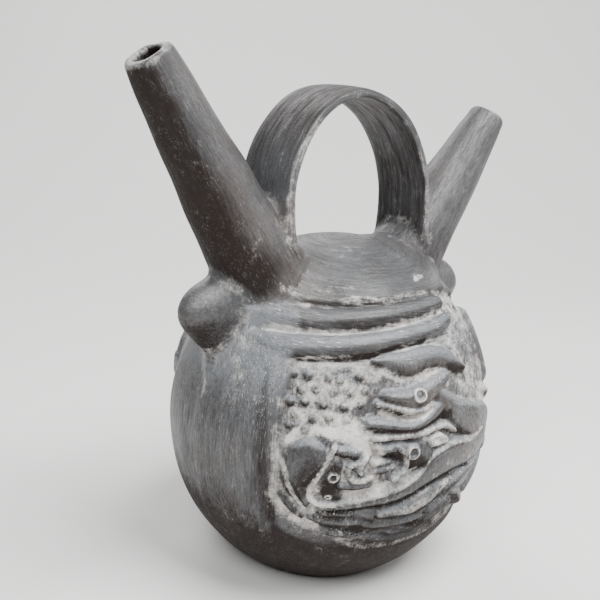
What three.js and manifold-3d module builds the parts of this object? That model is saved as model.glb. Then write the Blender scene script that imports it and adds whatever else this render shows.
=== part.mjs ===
// Double-spout bottle: a hollow pressed-clay body with two slanted spouts, a strap handle between them,
// a lug below each spout and a modelled relief panel on the front and on the back.
// Units are millimetres. +Z is up, X runs from spout to spout, the front panel faces -Y,
// and the origin is the middle of the flat foot.
import * as THREE from 'three';
import { mergeVertices } from 'three/addons/utils/BufferGeometryUtils.js';
import Module from 'manifold-3d';

const wasm = await Module();
wasm.setup();

// Body
const BODY_HALF_WIDTH = 75;
const BODY_HALF_DEPTH = 73;
const EQUATOR_HEIGHT = 69;
const DOME_RISE = 80;
const FOOT_RADIUS = 39;
const WALL = 6;
const FLOOR_THICKNESS = 7;

// Spouts: each axis runs from a point inside the body to the middle of the mouth.
const NEAR_ROOT_REACH = 34.4;
const NEAR_ROOT_HEIGHT = 118.8;
const NEAR_ROOT_RADIUS = 21.2;
const NEAR_TIP_REACH = 103.7;
const NEAR_TIP_HEIGHT = 220.7;
const FAR_ROOT_REACH = 32.8;
const FAR_ROOT_HEIGHT = 119.4;
const FAR_ROOT_RADIUS = 20;
const FAR_TIP_REACH = 103.1;
const FAR_TIP_HEIGHT = 202.5;
const MOUTH_RADIUS = 9.4;
const BORE_MOUTH_RADIUS = 5.5;
const SPOUT_WALL = 4.6;
const RIM_ROUNDING = 1.3;
const COLLAR_LENGTH = 22;
const COLLAR_FLARE = 3;
const LIP_SWELL = 0.3;
const LIP_LENGTH = 3.9;
const BORE_LIP_DEPTH = 2.6;
const SPOUT_NEAR = {
  root: [-NEAR_ROOT_REACH, NEAR_ROOT_HEIGHT],
  tip: [-NEAR_TIP_REACH, NEAR_TIP_HEIGHT],
  rootRadius: NEAR_ROOT_RADIUS,
};
const SPOUT_FAR = {
  root: [FAR_ROOT_REACH, FAR_ROOT_HEIGHT],
  tip: [FAR_TIP_REACH, FAR_TIP_HEIGHT],
  rootRadius: FAR_ROOT_RADIUS,
};

// Strap handle: an arch of one superellipse on straight legs, leaning a little towards the -X spout.
const STRAP_WIDTH = 30;
const STRAP_THICKNESS = 5;
const STRAP_EDGE = 1.4;
const ARCH_HALF_SPAN = 42.7;
const ARCH_SPRING_HEIGHT = 166.7;
const ARCH_RISE = 44.6;
const ARCH_POWER = 1.87;
const ARCH_LEAN = THREE.MathUtils.degToRad(-5.1);
const LEAN_PIVOT_HEIGHT = 150;
const LEG_FOOT_HEIGHT = 127;

// Lugs: a round knob above, drawn in below to a stem on the body
const LUG_CENTRE_X = 68;
const LUG_HEIGHTS = { near: 123.5, far: 118.5 };
const LUG_HALF_LENGTH = 19;
const LUG_HALF_WIDTH = 11;
const LUG_RISE = 13;
const LUG_DROP = 22;
const LUG_TAPER = 1.6;

// Relief panels, in degrees round the body from the panel's middle and millimetres of height
const PANEL_HALF_ANGLE = 61;
const PANEL_TOP = 134;
const PANEL_BOTTOM = 31;
const PANEL_EDGE = 4;
const GROUND_DEPTH = 2.4;
const HALF_TURN = 180;
const FULL_TURN = 360;

// Section of a relief ridge: level over the first share of its half width, then falling to the ground
const RIDGE_LEVEL = 0.35;
const RIDGE_FALL = 0.95;

// Grid steps of the body's skin
const FRONT_STEP = 3.15;
const BACK_STEP = 6;
const SIDE_STEP = 9;
const RELIEF_ROW_STEP = 3.8;
const SMOOTH_ROW_STEP = 7;
const FINE_ANGLE_MARGIN = 2;
const FINE_ROWS_BELOW_PANEL = 8;
const FINE_ROWS_ABOVE_PANEL = 4;
const LEAST_ROW_RISE = 0.16;
const CROWN_GAP = 1;

// Facets of the turned and swept shapes
const SPINE_STEPS = 4;
const HOLLOW_SIDES = 28;
const HOLLOW_ROWS = 15;
const SPOUT_SIDES = 24;
const COLLAR_RINGS = 4;
const COLLAR_RING_STEP = 6;
const BARREL_RINGS = [0.45, 0.72];
const BORE_SIDES = 20;
const ARCH_STEPS = 26;
const LUG_SIDES = 16;
const LUG_ROWS = 10;
const MERGE_DISTANCE = 1e-4;

// Each figure of the front relief is a rounded ridge along a few points [angle, height, half width].
const FRONT_FIGURES = [
  {
    name: 'upper band',
    rise: 4.2,
    line: [[-66, 125.5, 4], [-25, 126.5, 4], [0, 128, 4.4], [17, 128, 4.2]],
  },
  {
    name: 'lower band',
    rise: 3.9,
    line: [[-66, 116, 4.6], [-30, 117, 4.6], [0, 120.5, 4.2], [14, 121.5, 3]],
  },
  {
    name: 'leaf',
    rise: 3.2,
    line: [[-28, 110.5, 2.5], [-16, 110.5, 5.2], [-3, 108, 5.4], [10, 104, 2.5]],
  },
  {
    name: 'upper head',
    rise: 3.4,
    line: [[-25, 97.5, 3], [-15, 96.5, 4.8], [-6, 101, 4.4], [-1, 103, 3]],
  },
  { name: 'upper jaw', rise: 3, line: [[-31, 88, 2.6], [-19, 85.8, 3.2], [-9, 88.5, 3.6]] },
  { name: 'upper neck', rise: 3.2, line: [[-6, 96, 4], [0, 87, 6], [9, 81, 6.5], [20, 79, 6]] },
  { name: 'middle head', rise: 3.6, line: [[-24, 74, 5], [-17, 74, 7], [-12, 71, 6]] },
  {
    name: 'body',
    rise: 3.8,
    line: [[-44, 51.5, 2], [-30, 54.5, 3.2], [-18, 57.5, 4.6], [-6, 65, 7], [8, 67, 7], [21, 67, 6]],
  },
  { name: 'headdress', rise: 4.4, line: [[-51, 73, 9.5], [-53, 65, 6.5], [-50, 55, 2.5]] },
  { name: 'face', rise: 3, line: [[-38.5, 76, 3.2], [-42, 66, 5], [-41, 58.5, 4.4]] },
  { name: 'snarl', rise: 3.2, line: [[-36.5, 70, 2.6], [-34.5, 65, 3], [-31, 64.5, 2.8]] },
  { name: 'forelimb', rise: 3.6, line: [[-24, 47.5, 2.6], [-12, 49, 5.2], [0, 56.5, 2.6]] },
  { name: 'hind limb', rise: 3.4, line: [[-3, 46, 2], [5, 52, 3.4], [16, 57.5, 3.4]] },
  {
    name: 'lower limb',
    rise: 3.2,
    line: [[-20, 35, 2], [-8, 38, 3.4], [6, 44, 3.6], [16, 46, 2.6]],
  },
  { name: 'wave', rise: 2.8, line: [[8, 36, 3], [20, 42, 3.4], [32, 52, 3]] },
  { name: 'tail', rise: 3.4, line: [[24, 64, 4], [36, 60, 4.6], [48, 50, 3]] },
  {
    name: 'left fold',
    rise: 2.6,
    line: [[-57, 56, 2.6], [-53, 48, 2.2], [-46, 46, 2.4], [-32, 45, 2.4]],
  },
  { name: 'far lobe', rise: 4.8, line: [[33, 104, 3], [42, 103, 5.6], [54, 106, 6]] },
  { name: 'far fold', rise: 3.4, line: [[30, 84, 3], [44, 82, 5], [56, 86, 5]] },
];

// The back relief has the same bands and body in fewer, broader ridges.
const BACK_FIGURES = [
  { name: 'upper band', rise: 4.2, line: [[-66, 125.5, 4], [0, 127, 4.2], [66, 125.5, 4]] },
  { name: 'lower band', rise: 3.9, line: [[-66, 116, 4.6], [0, 118, 4.2], [66, 116, 4.6]] },
  { name: 'head', rise: 4.2, line: [[-34, 84, 8], [-22, 86, 9]] },
  { name: 'snout', rise: 3.4, line: [[-46, 80, 4], [-36, 80, 5]] },
  { name: 'body', rise: 4, line: [[-20, 80, 7], [4, 70, 9], [30, 72, 8], [44, 86, 5]] },
  { name: 'forelimb', rise: 3.4, line: [[-14, 68, 4.5], [-26, 56, 4], [-40, 54, 3.4]] },
  { name: 'hind limb', rise: 3.4, line: [[22, 64, 4.6], [16, 50, 4], [2, 46, 3.4]] },
  { name: 'tail', rise: 3.2, line: [[44, 86, 4.4], [36, 100, 4], [18, 104, 3.2]] },
  { name: 'wave', rise: 3, line: [[-46, 42, 3], [0, 38, 3.6], [46, 42, 3]] },
];

const CLAY = new THREE.MeshStandardMaterial({ color: 0x5b5f61, roughness: 0.48, metalness: 0 });

const degrees = (angle) => THREE.MathUtils.degToRad(angle);
const smooth = (value) => THREE.MathUtils.smoothstep(value, 0, 1);

// Lower half height of the ellipsoid that passes through the foot's edge and the equator.
const LOWER_RISE = EQUATOR_HEIGHT / Math.sqrt(1 - (FOOT_RADIUS / BODY_HALF_WIDTH) ** 2);

// Point of the smooth body at an angle in degrees from -Y towards +X and a height.
function bodyPoint(angle, height) {
  const halfHeight = height < EQUATOR_HEIGHT ? LOWER_RISE : DOME_RISE;
  const ring = Math.sqrt(Math.max(0, 1 - ((height - EQUATOR_HEIGHT) / halfHeight) ** 2));
  const turn = degrees(angle);
  return new THREE.Vector3(
    BODY_HALF_WIDTH * ring * Math.sin(turn),
    -BODY_HALF_DEPTH * ring * Math.cos(turn),
    height,
  );
}

function bodyNormal(point) {
  const halfHeight = point.z < EQUATOR_HEIGHT ? LOWER_RISE : DOME_RISE;
  return new THREE.Vector3(
    point.x / BODY_HALF_WIDTH ** 2,
    point.y / BODY_HALF_DEPTH ** 2,
    (point.z - EQUATOR_HEIGHT) / halfHeight ** 2,
  ).normalize();
}

// A figure's spine: the given points joined by a smooth curve, cut into short straight pieces.
function spine(line, middle) {
  const knots = line.map(([angle, height, half]) => new THREE.Vector3(angle, height, half));
  const curve = new THREE.CatmullRomCurve3(knots, false, 'catmullrom', 0.5);
  return curve.getPoints(SPINE_STEPS * (line.length - 1)).map((knot) => ({
    place: bodyPoint(middle + knot.x, knot.y),
    half: knot.z,
  }));
}

function spinesOf(figures, middle) {
  return figures.map(({ rise, line }) => ({ rise, spine: spine(line, middle) }));
}

const FRONT_SPINES = spinesOf(FRONT_FIGURES, 0);
const BACK_SPINES = spinesOf(BACK_FIGURES, HALF_TURN);

// Height of one ridge at a point: a round-topped section across its spine.
function ridge(point, figure) {
  const across = new THREE.Line3();
  const nearest = new THREE.Vector3();
  let best = Infinity;
  for (let i = 1; i < figure.spine.length; i += 1) {
    across.set(figure.spine[i - 1].place, figure.spine[i].place);
    const along = across.closestPointToPointParameter(point, true);
    across.at(along, nearest);
    const half = THREE.MathUtils.lerp(figure.spine[i - 1].half, figure.spine[i].half, along);
    best = Math.min(best, nearest.distanceTo(point) / half);
  }
  return figure.rise * (1 - smooth((best - RIDGE_LEVEL) / RIDGE_FALL));
}

// Height of the skin over the smooth body: plain sides at zero, panel ground below, figures above it.
function relief(angle, height, point) {
  const onFront = Math.abs(angle) < HALF_TURN / 2;
  const fromMiddle = onFront ? Math.abs(angle) : HALF_TURN - Math.abs(angle);
  const sideways = (PANEL_HALF_ANGLE - fromMiddle) * degrees(BODY_HALF_WIDTH);
  const upward = Math.min(PANEL_TOP - height, height - PANEL_BOTTOM);
  const inside = smooth(Math.min(sideways, upward) / PANEL_EDGE);
  if (inside === 0) {
    return 0;
  }
  const figures = onFront ? FRONT_SPINES : BACK_SPINES;
  const figureRise = Math.max(...figures.map((figure) => ridge(point, figure)));
  return inside * (figureRise - GROUND_DEPTH);
}

// Angles round the body, close together on the panels and wide apart on the sides.
function ringAngles() {
  const angles = [];
  const span = (from, to, step) => {
    const count = Math.round((to - from) / step);
    for (let i = 0; i < count; i += 1) {
      angles.push(from + (to - from) * i / count);
    }
  };
  const edge = PANEL_HALF_ANGLE + FINE_ANGLE_MARGIN;
  span(-edge, edge, FRONT_STEP);
  span(edge, HALF_TURN - edge, SIDE_STEP);
  span(HALF_TURN - edge, HALF_TURN + edge, BACK_STEP);
  span(HALF_TURN + edge, FULL_TURN - edge, SIDE_STEP);
  return angles.map((angle) => (angle > HALF_TURN ? angle - FULL_TURN : angle));
}

// Heights of the body's rings, spaced by arc so that the dome and the foot are as fine as the sides.
function ringHeights() {
  const heights = [0];
  let height = 0;
  const fineFrom = PANEL_BOTTOM - FINE_ROWS_BELOW_PANEL;
  const fineTo = PANEL_TOP + FINE_ROWS_ABOVE_PANEL;
  while (height < EQUATOR_HEIGHT + DOME_RISE - CROWN_GAP) {
    const step = height > fineFrom && height < fineTo ? RELIEF_ROW_STEP : SMOOTH_ROW_STEP;
    const halfHeight = height < EQUATOR_HEIGHT ? LOWER_RISE : DOME_RISE;
    const lift = (height - EQUATOR_HEIGHT) / halfHeight;
    height += step * Math.max(LEAST_ROW_RISE, Math.sqrt(1 - lift ** 2));
    heights.push(height);
  }
  heights.pop();
  return heights;
}

// A closed skin from rings of points, with one point closing each end.
function skin(rings, firstPole, lastPole) {
  const count = rings[0].length;
  const positions = [firstPole, ...rings.flat(), lastPole].flatMap((point) => point.toArray());
  const index = [];
  const at = (ring, i) => 1 + ring * count + (i % count);
  const last = 1 + rings.length * count;
  for (let i = 0; i < count; i += 1) {
    index.push(0, at(0, i + 1), at(0, i));
    index.push(last, at(rings.length - 1, i), at(rings.length - 1, i + 1));
    for (let ring = 1; ring < rings.length; ring += 1) {
      index.push(at(ring - 1, i), at(ring - 1, i + 1), at(ring, i + 1));
      index.push(at(ring - 1, i), at(ring, i + 1), at(ring, i));
    }
  }
  const geometry = new THREE.BufferGeometry();
  geometry.setAttribute('position', new THREE.Float32BufferAttribute(positions, 3));
  geometry.setIndex(index);
  return geometry;
}

function solid(geometry) {
  const source = geometry.clone();
  source.deleteAttribute('normal');
  source.deleteAttribute('uv');
  const merged = mergeVertices(source, MERGE_DISTANCE);
  return new wasm.Manifold(new wasm.Mesh({
    numProp: 3,
    vertProperties: new Float32Array(merged.attributes.position.array),
    triVerts: new Uint32Array(merged.index.array),
  }));
}

function bodySkin() {
  const angles = ringAngles();
  const rings = ringHeights().map((height) => angles.map((angle) => {
    const point = bodyPoint(angle, height);
    const rise = relief(angle, height, point);
    return rise === 0 ? point : point.addScaledVector(bodyNormal(point), rise);
  }));
  const top = new THREE.Vector3(0, 0, EQUATOR_HEIGHT + DOME_RISE);
  return skin(rings, new THREE.Vector3(0, 0, 0), top);
}

// The hollow follows the smooth body one wall inside it.
function hollow() {
  const geometry = new THREE.SphereGeometry(1, HOLLOW_SIDES, HOLLOW_ROWS);
  geometry.rotateX(Math.PI / 2);
  const position = geometry.attributes.position;
  for (let i = 0; i < position.count; i += 1) {
    const up = position.getZ(i);
    const halfHeight = up < 0 ? LOWER_RISE - WALL : DOME_RISE - WALL;
    position.setXYZ(
      i,
      position.getX(i) * (BODY_HALF_WIDTH - WALL),
      position.getY(i) * (BODY_HALF_DEPTH - WALL),
      Math.max(FLOOR_THICKNESS, EQUATOR_HEIGHT + up * halfHeight),
    );
  }
  return geometry;
}

// A turned shape about +Y from [radius, distance] pairs, laid along an axis in the XZ plane.
function turned(profile, spout, segments) {
  const points = profile.map(([radius, distance]) => new THREE.Vector2(radius, distance));
  const geometry = new THREE.LatheGeometry(points, segments);
  const root = new THREE.Vector3(spout.root[0], 0, spout.root[1]);
  const tip = new THREE.Vector3(spout.tip[0], 0, spout.tip[1]);
  const axis = tip.clone().sub(root).normalize();
  const turn = new THREE.Quaternion().setFromUnitVectors(new THREE.Vector3(0, 1, 0), axis);
  geometry.applyQuaternion(turn);
  geometry.translate(root.x, root.y, root.z);
  return geometry;
}

function spoutLength(spout) {
  return Math.hypot(spout.tip[0] - spout.root[0], spout.tip[1] - spout.root[1]);
}

function spoutSkin(spout) {
  const length = spoutLength(spout);
  const taper = (spout.rootRadius - MOUTH_RADIUS) / length;
  const radiusAt = (distance) => {
    const flare = COLLAR_FLARE * (1 - smooth(distance / COLLAR_LENGTH)) ** 2;
    return spout.rootRadius - taper * distance + flare;
  };
  const profile = [[0, 0]];
  for (let ring = 0; ring <= COLLAR_RINGS; ring += 1) {
    const distance = ring * COLLAR_RING_STEP;
    profile.push([radiusAt(distance), distance]);
  }
  for (const share of BARREL_RINGS) {
    profile.push([radiusAt(length * share), length * share]);
  }
  profile.push([MOUTH_RADIUS + LIP_SWELL, length - LIP_LENGTH]);
  profile.push([MOUTH_RADIUS, length - RIM_ROUNDING]);
  profile.push([MOUTH_RADIUS - RIM_ROUNDING, length]);
  profile.push([0, length]);
  return turned(profile, spout, SPOUT_SIDES);
}

// Each bore widens from the mouth down into the hollow and flares a little at the lip.
function boreSkin(spout) {
  const length = spoutLength(spout);
  const profile = [
    [0, 0],
    [spout.rootRadius - SPOUT_WALL, 0],
    [BORE_MOUTH_RADIUS, length - BORE_LIP_DEPTH],
    [BORE_MOUTH_RADIUS + RIM_ROUNDING, length + RIM_ROUNDING],
    [0, length + RIM_ROUNDING],
  ];
  return turned(profile, spout, BORE_SIDES);
}

// Middle line of the strap in the XZ plane, leg foot to leg foot.
function strapPath() {
  const path = [];
  const bend = (value) => Math.sign(value) * Math.abs(value) ** (2 / ARCH_POWER);
  for (let i = 0; i <= ARCH_STEPS; i += 1) {
    const turn = Math.PI * i / ARCH_STEPS;
    const across = -ARCH_HALF_SPAN * bend(Math.cos(turn));
    path.push([across, ARCH_SPRING_HEIGHT + ARCH_RISE * bend(Math.sin(turn))]);
  }
  path.unshift([-ARCH_HALF_SPAN, LEG_FOOT_HEIGHT]);
  path.push([ARCH_HALF_SPAN, LEG_FOOT_HEIGHT]);
  return path.map(([x, z]) => {
    const above = z - LEAN_PIVOT_HEIGHT;
    const leant = x + above * Math.sin(ARCH_LEAN);
    return new THREE.Vector2(leant, LEAN_PIVOT_HEIGHT + above * Math.cos(ARCH_LEAN));
  });
}

function strapSkin() {
  const path = strapPath();
  const half = STRAP_THICKNESS / 2;
  const edge = STRAP_WIDTH / 2;
  const section = [
    [edge, -half + STRAP_EDGE],
    [edge, half - STRAP_EDGE],
    [edge - STRAP_EDGE, half],
    [-edge + STRAP_EDGE, half],
    [-edge, half - STRAP_EDGE],
    [-edge, -half + STRAP_EDGE],
    [-edge + STRAP_EDGE, -half],
    [edge - STRAP_EDGE, -half],
  ];
  const rings = path.map((point, i) => {
    const before = path[Math.max(0, i - 1)];
    const after = path[Math.min(path.length - 1, i + 1)];
    const along = after.clone().sub(before).normalize();
    return section.map(([y, out]) => new THREE.Vector3(
      point.x - along.y * out,
      y,
      point.y + along.x * out,
    ));
  });
  const end = (point) => new THREE.Vector3(point.x, 0, point.y);
  return skin(rings, end(path[0]), end(path[path.length - 1]));
}

// The upper half is half an ellipsoid. Below it the width falls with a power of the depth.
function lugSkin(side, height) {
  const geometry = new THREE.SphereGeometry(1, LUG_SIDES, LUG_ROWS);
  geometry.rotateX(Math.PI / 2);
  const position = geometry.attributes.position;
  for (let i = 0; i < position.count; i += 1) {
    const up = position.getZ(i);
    const ring = Math.sqrt(Math.max(0, 1 - up ** 2));
    const isBelow = up < 0 && ring > MERGE_DISTANCE;
    const drawnIn = isBelow ? (1 - Math.abs(up) ** LUG_TAPER) / ring : 1;
    position.setXYZ(
      i,
      position.getX(i) * drawnIn * LUG_HALF_LENGTH,
      position.getY(i) * drawnIn * LUG_HALF_WIDTH,
      up * (up < 0 ? LUG_DROP : LUG_RISE),
    );
  }
  geometry.translate(side * LUG_CENTRE_X, 0, height);
  return geometry;
}

const added = [
  spoutSkin(SPOUT_NEAR),
  spoutSkin(SPOUT_FAR),
  strapSkin(),
  lugSkin(-1, LUG_HEIGHTS.near),
  lugSkin(1, LUG_HEIGHTS.far),
];
const removed = [hollow(), boreSkin(SPOUT_NEAR), boreSkin(SPOUT_FAR)];

let bottle = solid(bodySkin());
for (const geometry of added) {
  bottle = bottle.add(solid(geometry));
}
for (const geometry of removed) {
  bottle = bottle.subtract(solid(geometry));
}

const cut = bottle.getMesh();
const clay = new THREE.BufferGeometry();
clay.setAttribute('position', new THREE.BufferAttribute(new Float32Array(cut.vertProperties), 3));
clay.setIndex(new THREE.BufferAttribute(new Uint32Array(cut.triVerts), 1));
clay.computeVertexNormals();

const bottleMesh = new THREE.Mesh(clay, CLAY);
bottleMesh.name = 'bottle';

const group = new THREE.Group();
group.add(bottleMesh);

export default group;
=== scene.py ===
import logging
import math
from dataclasses import dataclass, field
from enum import Enum, IntEnum
from functools import reduce

import bpy
import numpy as np
from mathutils import Matrix, Vector


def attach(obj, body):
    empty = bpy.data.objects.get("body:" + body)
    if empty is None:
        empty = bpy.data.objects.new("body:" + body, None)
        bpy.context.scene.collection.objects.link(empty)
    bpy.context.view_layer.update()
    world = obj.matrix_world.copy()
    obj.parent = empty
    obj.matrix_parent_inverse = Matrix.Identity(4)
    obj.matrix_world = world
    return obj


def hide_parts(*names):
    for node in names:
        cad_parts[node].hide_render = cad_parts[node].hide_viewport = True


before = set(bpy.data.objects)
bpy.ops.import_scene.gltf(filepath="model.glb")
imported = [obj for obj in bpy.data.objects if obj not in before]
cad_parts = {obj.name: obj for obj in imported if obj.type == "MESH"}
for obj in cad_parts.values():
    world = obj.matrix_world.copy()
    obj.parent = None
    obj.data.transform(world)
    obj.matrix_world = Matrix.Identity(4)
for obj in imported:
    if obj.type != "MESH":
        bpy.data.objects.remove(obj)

LOG = logging.getLogger("bottle")
METRES_PER_MM = 0.001
Knots = tuple[tuple[float, float, float], ...]


def smooth_step(value: np.ndarray) -> np.ndarray:
    """Ease from 0 to 1: the cubic 3t^2 - 2t^3 of the value held between 0 and 1.

    Args:
        value: Any array.

    Returns:
        The eased array.
    """
    held = np.clip(value, 0.0, 1.0)
    return held * held * (3.0 - 2.0 * held)


def eased(value: np.ndarray, start: float, width: float) -> np.ndarray:
    """Ease from 0 at the start to 1 a width further on; a negative width eases towards lower values.

    Args:
        value: Any array.
        start: Where the easing starts.
        width: How far it runs.

    Returns:
        The eased array.
    """
    return smooth_step((value - start) / width)


def faded(distance: np.ndarray, reach: np.ndarray | float) -> np.ndarray:
    """Fade from 1 at no distance to 0 at the reach: 1 less the eased share of the reach."""
    return 1.0 - smooth_step(distance / reach)


def nearness(distance: np.ndarray, reach: float) -> np.ndarray:
    """Fall in a straight line from 1 at no distance to 0 at the reach."""
    return 1.0 - np.clip(distance / reach, 0.0, 1.0)


def full_turn(steps: int) -> np.ndarray:
    """Even turns round a circle in radians, without the repeated end."""
    return np.linspace(0.0, 2.0 * math.pi, steps, endpoint=False)


def mesh_points(mesh: bpy.types.Mesh) -> np.ndarray:
    """Places of a mesh's vertices in millimetres, shape (n, 3)."""
    flat = np.empty(len(mesh.vertices) * 3)
    mesh.vertices.foreach_get("co", flat)
    return flat.reshape(-1, 3) / METRES_PER_MM


def waves(points: np.ndarray, length: float, seed: int, count: int = 14) -> np.ndarray:
    """Gentle unevenness: the mean of sine waves in fixed random directions.

    Args:
        points: Places in millimetres, shape (n, 3).
        length: Typical wave length in millimetres.
        seed: Seed of the directions and phases.
        count: Number of waves.

    Returns:
        Values of about -1 to 1, shape (n,).
    """
    rng = np.random.default_rng(seed)
    directions = rng.normal(size=(count, 3))
    directions /= np.linalg.norm(directions, axis=1, keepdims=True)
    pitch = 2.0 * math.pi / (length * rng.uniform(0.7, 1.5, count))
    phase = rng.uniform(0.0, 2.0 * math.pi, count)
    return np.sin(points @ (directions * pitch[:, None]).T + phase).sum(axis=1) / math.sqrt(count)


def catmull_rom(knots: np.ndarray, per_span: int) -> np.ndarray:
    """Sample a smooth curve through all knots: cubic spans with tangents half the chord across each knot.

    Args:
        knots: Knots, shape (n, k).
        per_span: Samples in each span.

    Returns:
        Samples along the curve, shape (m, k).
    """
    padded = np.vstack([2 * knots[0] - knots[1], knots, 2 * knots[-1] - knots[-2]])
    t = np.linspace(0.0, 1.0, per_span, endpoint=False)[:, None]
    spans = [
        0.5 * (
            2 * b + (c - a) * t + (2 * a - 5 * b + 4 * c - d) * t ** 2 + (3 * b - a - 3 * c + d) * t ** 3
        )
        for a, b, c, d in zip(padded[:-3], padded[1:-2], padded[2:-1], padded[3:])
    ]
    return np.vstack(spans + [knots[-1:]])


def nearest_on_line(points: np.ndarray, line: np.ndarray) -> tuple[np.ndarray, np.ndarray]:
    """Distance from each point to a line of straight pieces, and the place of the nearest spot.

    Args:
        points: Places, shape (n, 3).
        line: Corners of the line, shape (m, 3).

    Returns:
        Distances (n,) and places along the line counted in pieces (n,).
    """
    best = np.full(len(points), np.inf)
    place = np.zeros(len(points))
    for i, (start, end) in enumerate(zip(line[:-1], line[1:])):
        run = end - start
        along = np.clip((points - start) @ run / max(run @ run, 1e-12), 0.0, 1.0)
        gap = np.linalg.norm(points - start - along[:, None] * run, axis=1)
        nearer = gap < best
        best = np.where(nearer, gap, best)
        place = np.where(nearer, i + along, place)
    return best, place


def blur(grid: np.ndarray, radius: int) -> np.ndarray:
    """Soften a grid of values: three running means along each axis, with the edges held.

    Args:
        grid: Values, shape (rows, columns).
        radius: Half width of each mean, in cells.

    Returns:
        The softened grid.
    """
    out = grid
    for axis in (0, 1):
        for _ in range(3):
            spread = [(radius, radius) if a == axis else (0, 0) for a in (0, 1)]
            held = np.pad(out, spread, mode="edge")
            total = np.cumsum(held, axis=axis)
            total = np.insert(total, 0, 0.0, axis=axis)
            size = 2 * radius + 1
            upper = np.take(total, np.arange(size, total.shape[axis]), axis=axis)
            lower = np.take(total, np.arange(0, total.shape[axis] - size), axis=axis)
            out = (upper - lower) / size
    return out


def tube_faces(rings: int, around: int) -> np.ndarray:
    """Quads of a closed tube of rings, in rows, each ring joined to the next.

    Args:
        rings: Number of rings.
        around: Points on each ring.

    Returns:
        Indices of the quads, shape (n, 4).
    """
    ring, i = np.meshgrid(np.arange(rings - 1), np.arange(around), indexing="ij")
    nxt = (i + 1) % around
    quads = [ring * around + i, ring * around + nxt, (ring + 1) * around + nxt, (ring + 1) * around + i]
    return np.stack(quads, axis=-1).reshape(-1, 4)


def closed_mesh(name: str, rings: np.ndarray, first: np.ndarray, last: np.ndarray) -> bpy.types.Object:
    """A closed shape from rings of points with one point closing each end.

    Args:
        name: Object name.
        rings: Points in millimetres, shape (rings, around, 3).
        first: Point that closes the first ring.
        last: Point that closes the last ring.

    Returns:
        A new object in metres, linked to the scene.
    """
    count, around = rings.shape[:2]
    points = np.vstack([rings.reshape(-1, 3), first, last]) * METRES_PER_MM
    i = np.arange(around)
    nxt = (i + 1) % around
    low = np.stack([nxt, i, np.full(around, count * around)], axis=1)
    base = (count - 1) * around
    high = np.stack([base + i, base + nxt, np.full(around, count * around + 1)], axis=1)
    faces = tube_faces(count, around).tolist() + low.tolist() + high.tolist()
    mesh = bpy.data.meshes.new(name)
    mesh.from_pydata(points.tolist(), [], faces)
    mesh.update()
    obj = bpy.data.objects.new(name, mesh)
    bpy.context.scene.collection.objects.link(obj)
    return obj


@dataclass(frozen=True)
class RoundBody:
    """The smooth body: two half ellipsoids that meet at the equator, cut flat at the foot."""

    half_width: float = 75.0
    half_depth: float = 73.0
    equator: float = 69.0
    dome_rise: float = 80.0
    foot_radius: float = 39.0
    wall: float = 6.0
    floor: float = 7.0

    @property
    def lower_rise(self) -> float:
        """Half height of the lower ellipsoid, which passes through the foot's edge."""
        return self.equator / math.sqrt(1.0 - (self.foot_radius / self.half_width) ** 2)

    @property
    def centre(self) -> np.ndarray:
        """Where the two half ellipsoids meet on the axis."""
        return np.array([0.0, 0.0, self.equator])

    @property
    def top(self) -> float:
        """Height of the top of the dome."""
        return self.equator + self.dome_rise

    def rise_at(self, height: np.ndarray) -> np.ndarray:
        """Half height of the ellipsoid that a height belongs to."""
        return np.where(height < self.equator, self.lower_rise, self.dome_rise)

    def point(self, angle: np.ndarray, height: np.ndarray) -> np.ndarray:
        """Points at angles in degrees from -Y towards +X and heights.

        The ring radius at a height is the square root of 1 less the squared share of the half height.

        Args:
            angle: Angles in degrees.
            height: Heights in millimetres.

        Returns:
            Points, shape (..., 3).
        """
        share = (height - self.equator) / self.rise_at(height)
        ring = np.sqrt(np.clip(1.0 - share ** 2, 0.0, None))
        turn = np.radians(angle)
        across = self.half_width * ring * np.sin(turn)
        deep = -self.half_depth * ring * np.cos(turn)
        return np.stack([across, deep, height + 0.0 * across], axis=-1)

    def lift(self, points: np.ndarray, inset: float = 0.0) -> np.ndarray:
        """Height of points over the smooth body, along the line from its centre.

        Args:
            points: Places, shape (n, 3).
            inset: How far inside the smooth body the compared surface lies.

        Returns:
            Distances in millimetres, negative inside.
        """
        out = points - self.centre
        rise = self.rise_at(points[:, 2]) - inset
        spread = np.stack([
            out[:, 0] / (self.half_width - inset),
            out[:, 1] / (self.half_depth - inset),
            out[:, 2] / rise,
        ])
        level = np.sqrt((spread ** 2).sum(axis=0))
        return np.linalg.norm(out, axis=1) * (1.0 - 1.0 / np.maximum(level, 1e-6))

    def foot_point(self, points: np.ndarray) -> tuple[np.ndarray, np.ndarray]:
        """Angle in degrees and height on the smooth body below each point, seen from the centre.

        Args:
            points: Places, shape (n, 3).

        Returns:
            Angles from -180 to 180 and heights.
        """
        out = points - self.centre
        rise = self.rise_at(points[:, 2])
        level = np.sqrt(
            (out[:, 0] / self.half_width) ** 2 + (out[:, 1] / self.half_depth) ** 2 + (out[:, 2] / rise) ** 2
        )
        base = out / np.maximum(level, 1e-6)[:, None]
        angle = np.degrees(np.arctan2(base[:, 0] / self.half_width, -base[:, 1] / self.half_depth))
        return angle, base[:, 2] + self.equator

    def raised(self, base: np.ndarray, lift: np.ndarray) -> np.ndarray:
        """Points moved out from the centre by a lift.

        Args:
            base: Points on the smooth body, shape (n, 3).
            lift: Distances to move, shape (n,).

        Returns:
            The moved points.
        """
        out = base - self.centre
        return base + out * (lift / np.linalg.norm(out, axis=1))[:, None]


@dataclass(frozen=True)
class Ridge:
    """A raised form of the relief along a few knots of (angle, height, half width)."""

    name: str
    rise: float
    knots: Knots
    crown: float = 0.4
    tint: float = 0.0
    shoulder: float = 3.6


@dataclass(frozen=True)
class Line:
    """A fine line laid on top of the forms (positive rise) or cut into them (negative)."""

    name: str
    rise: float
    knots: Knots


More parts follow.
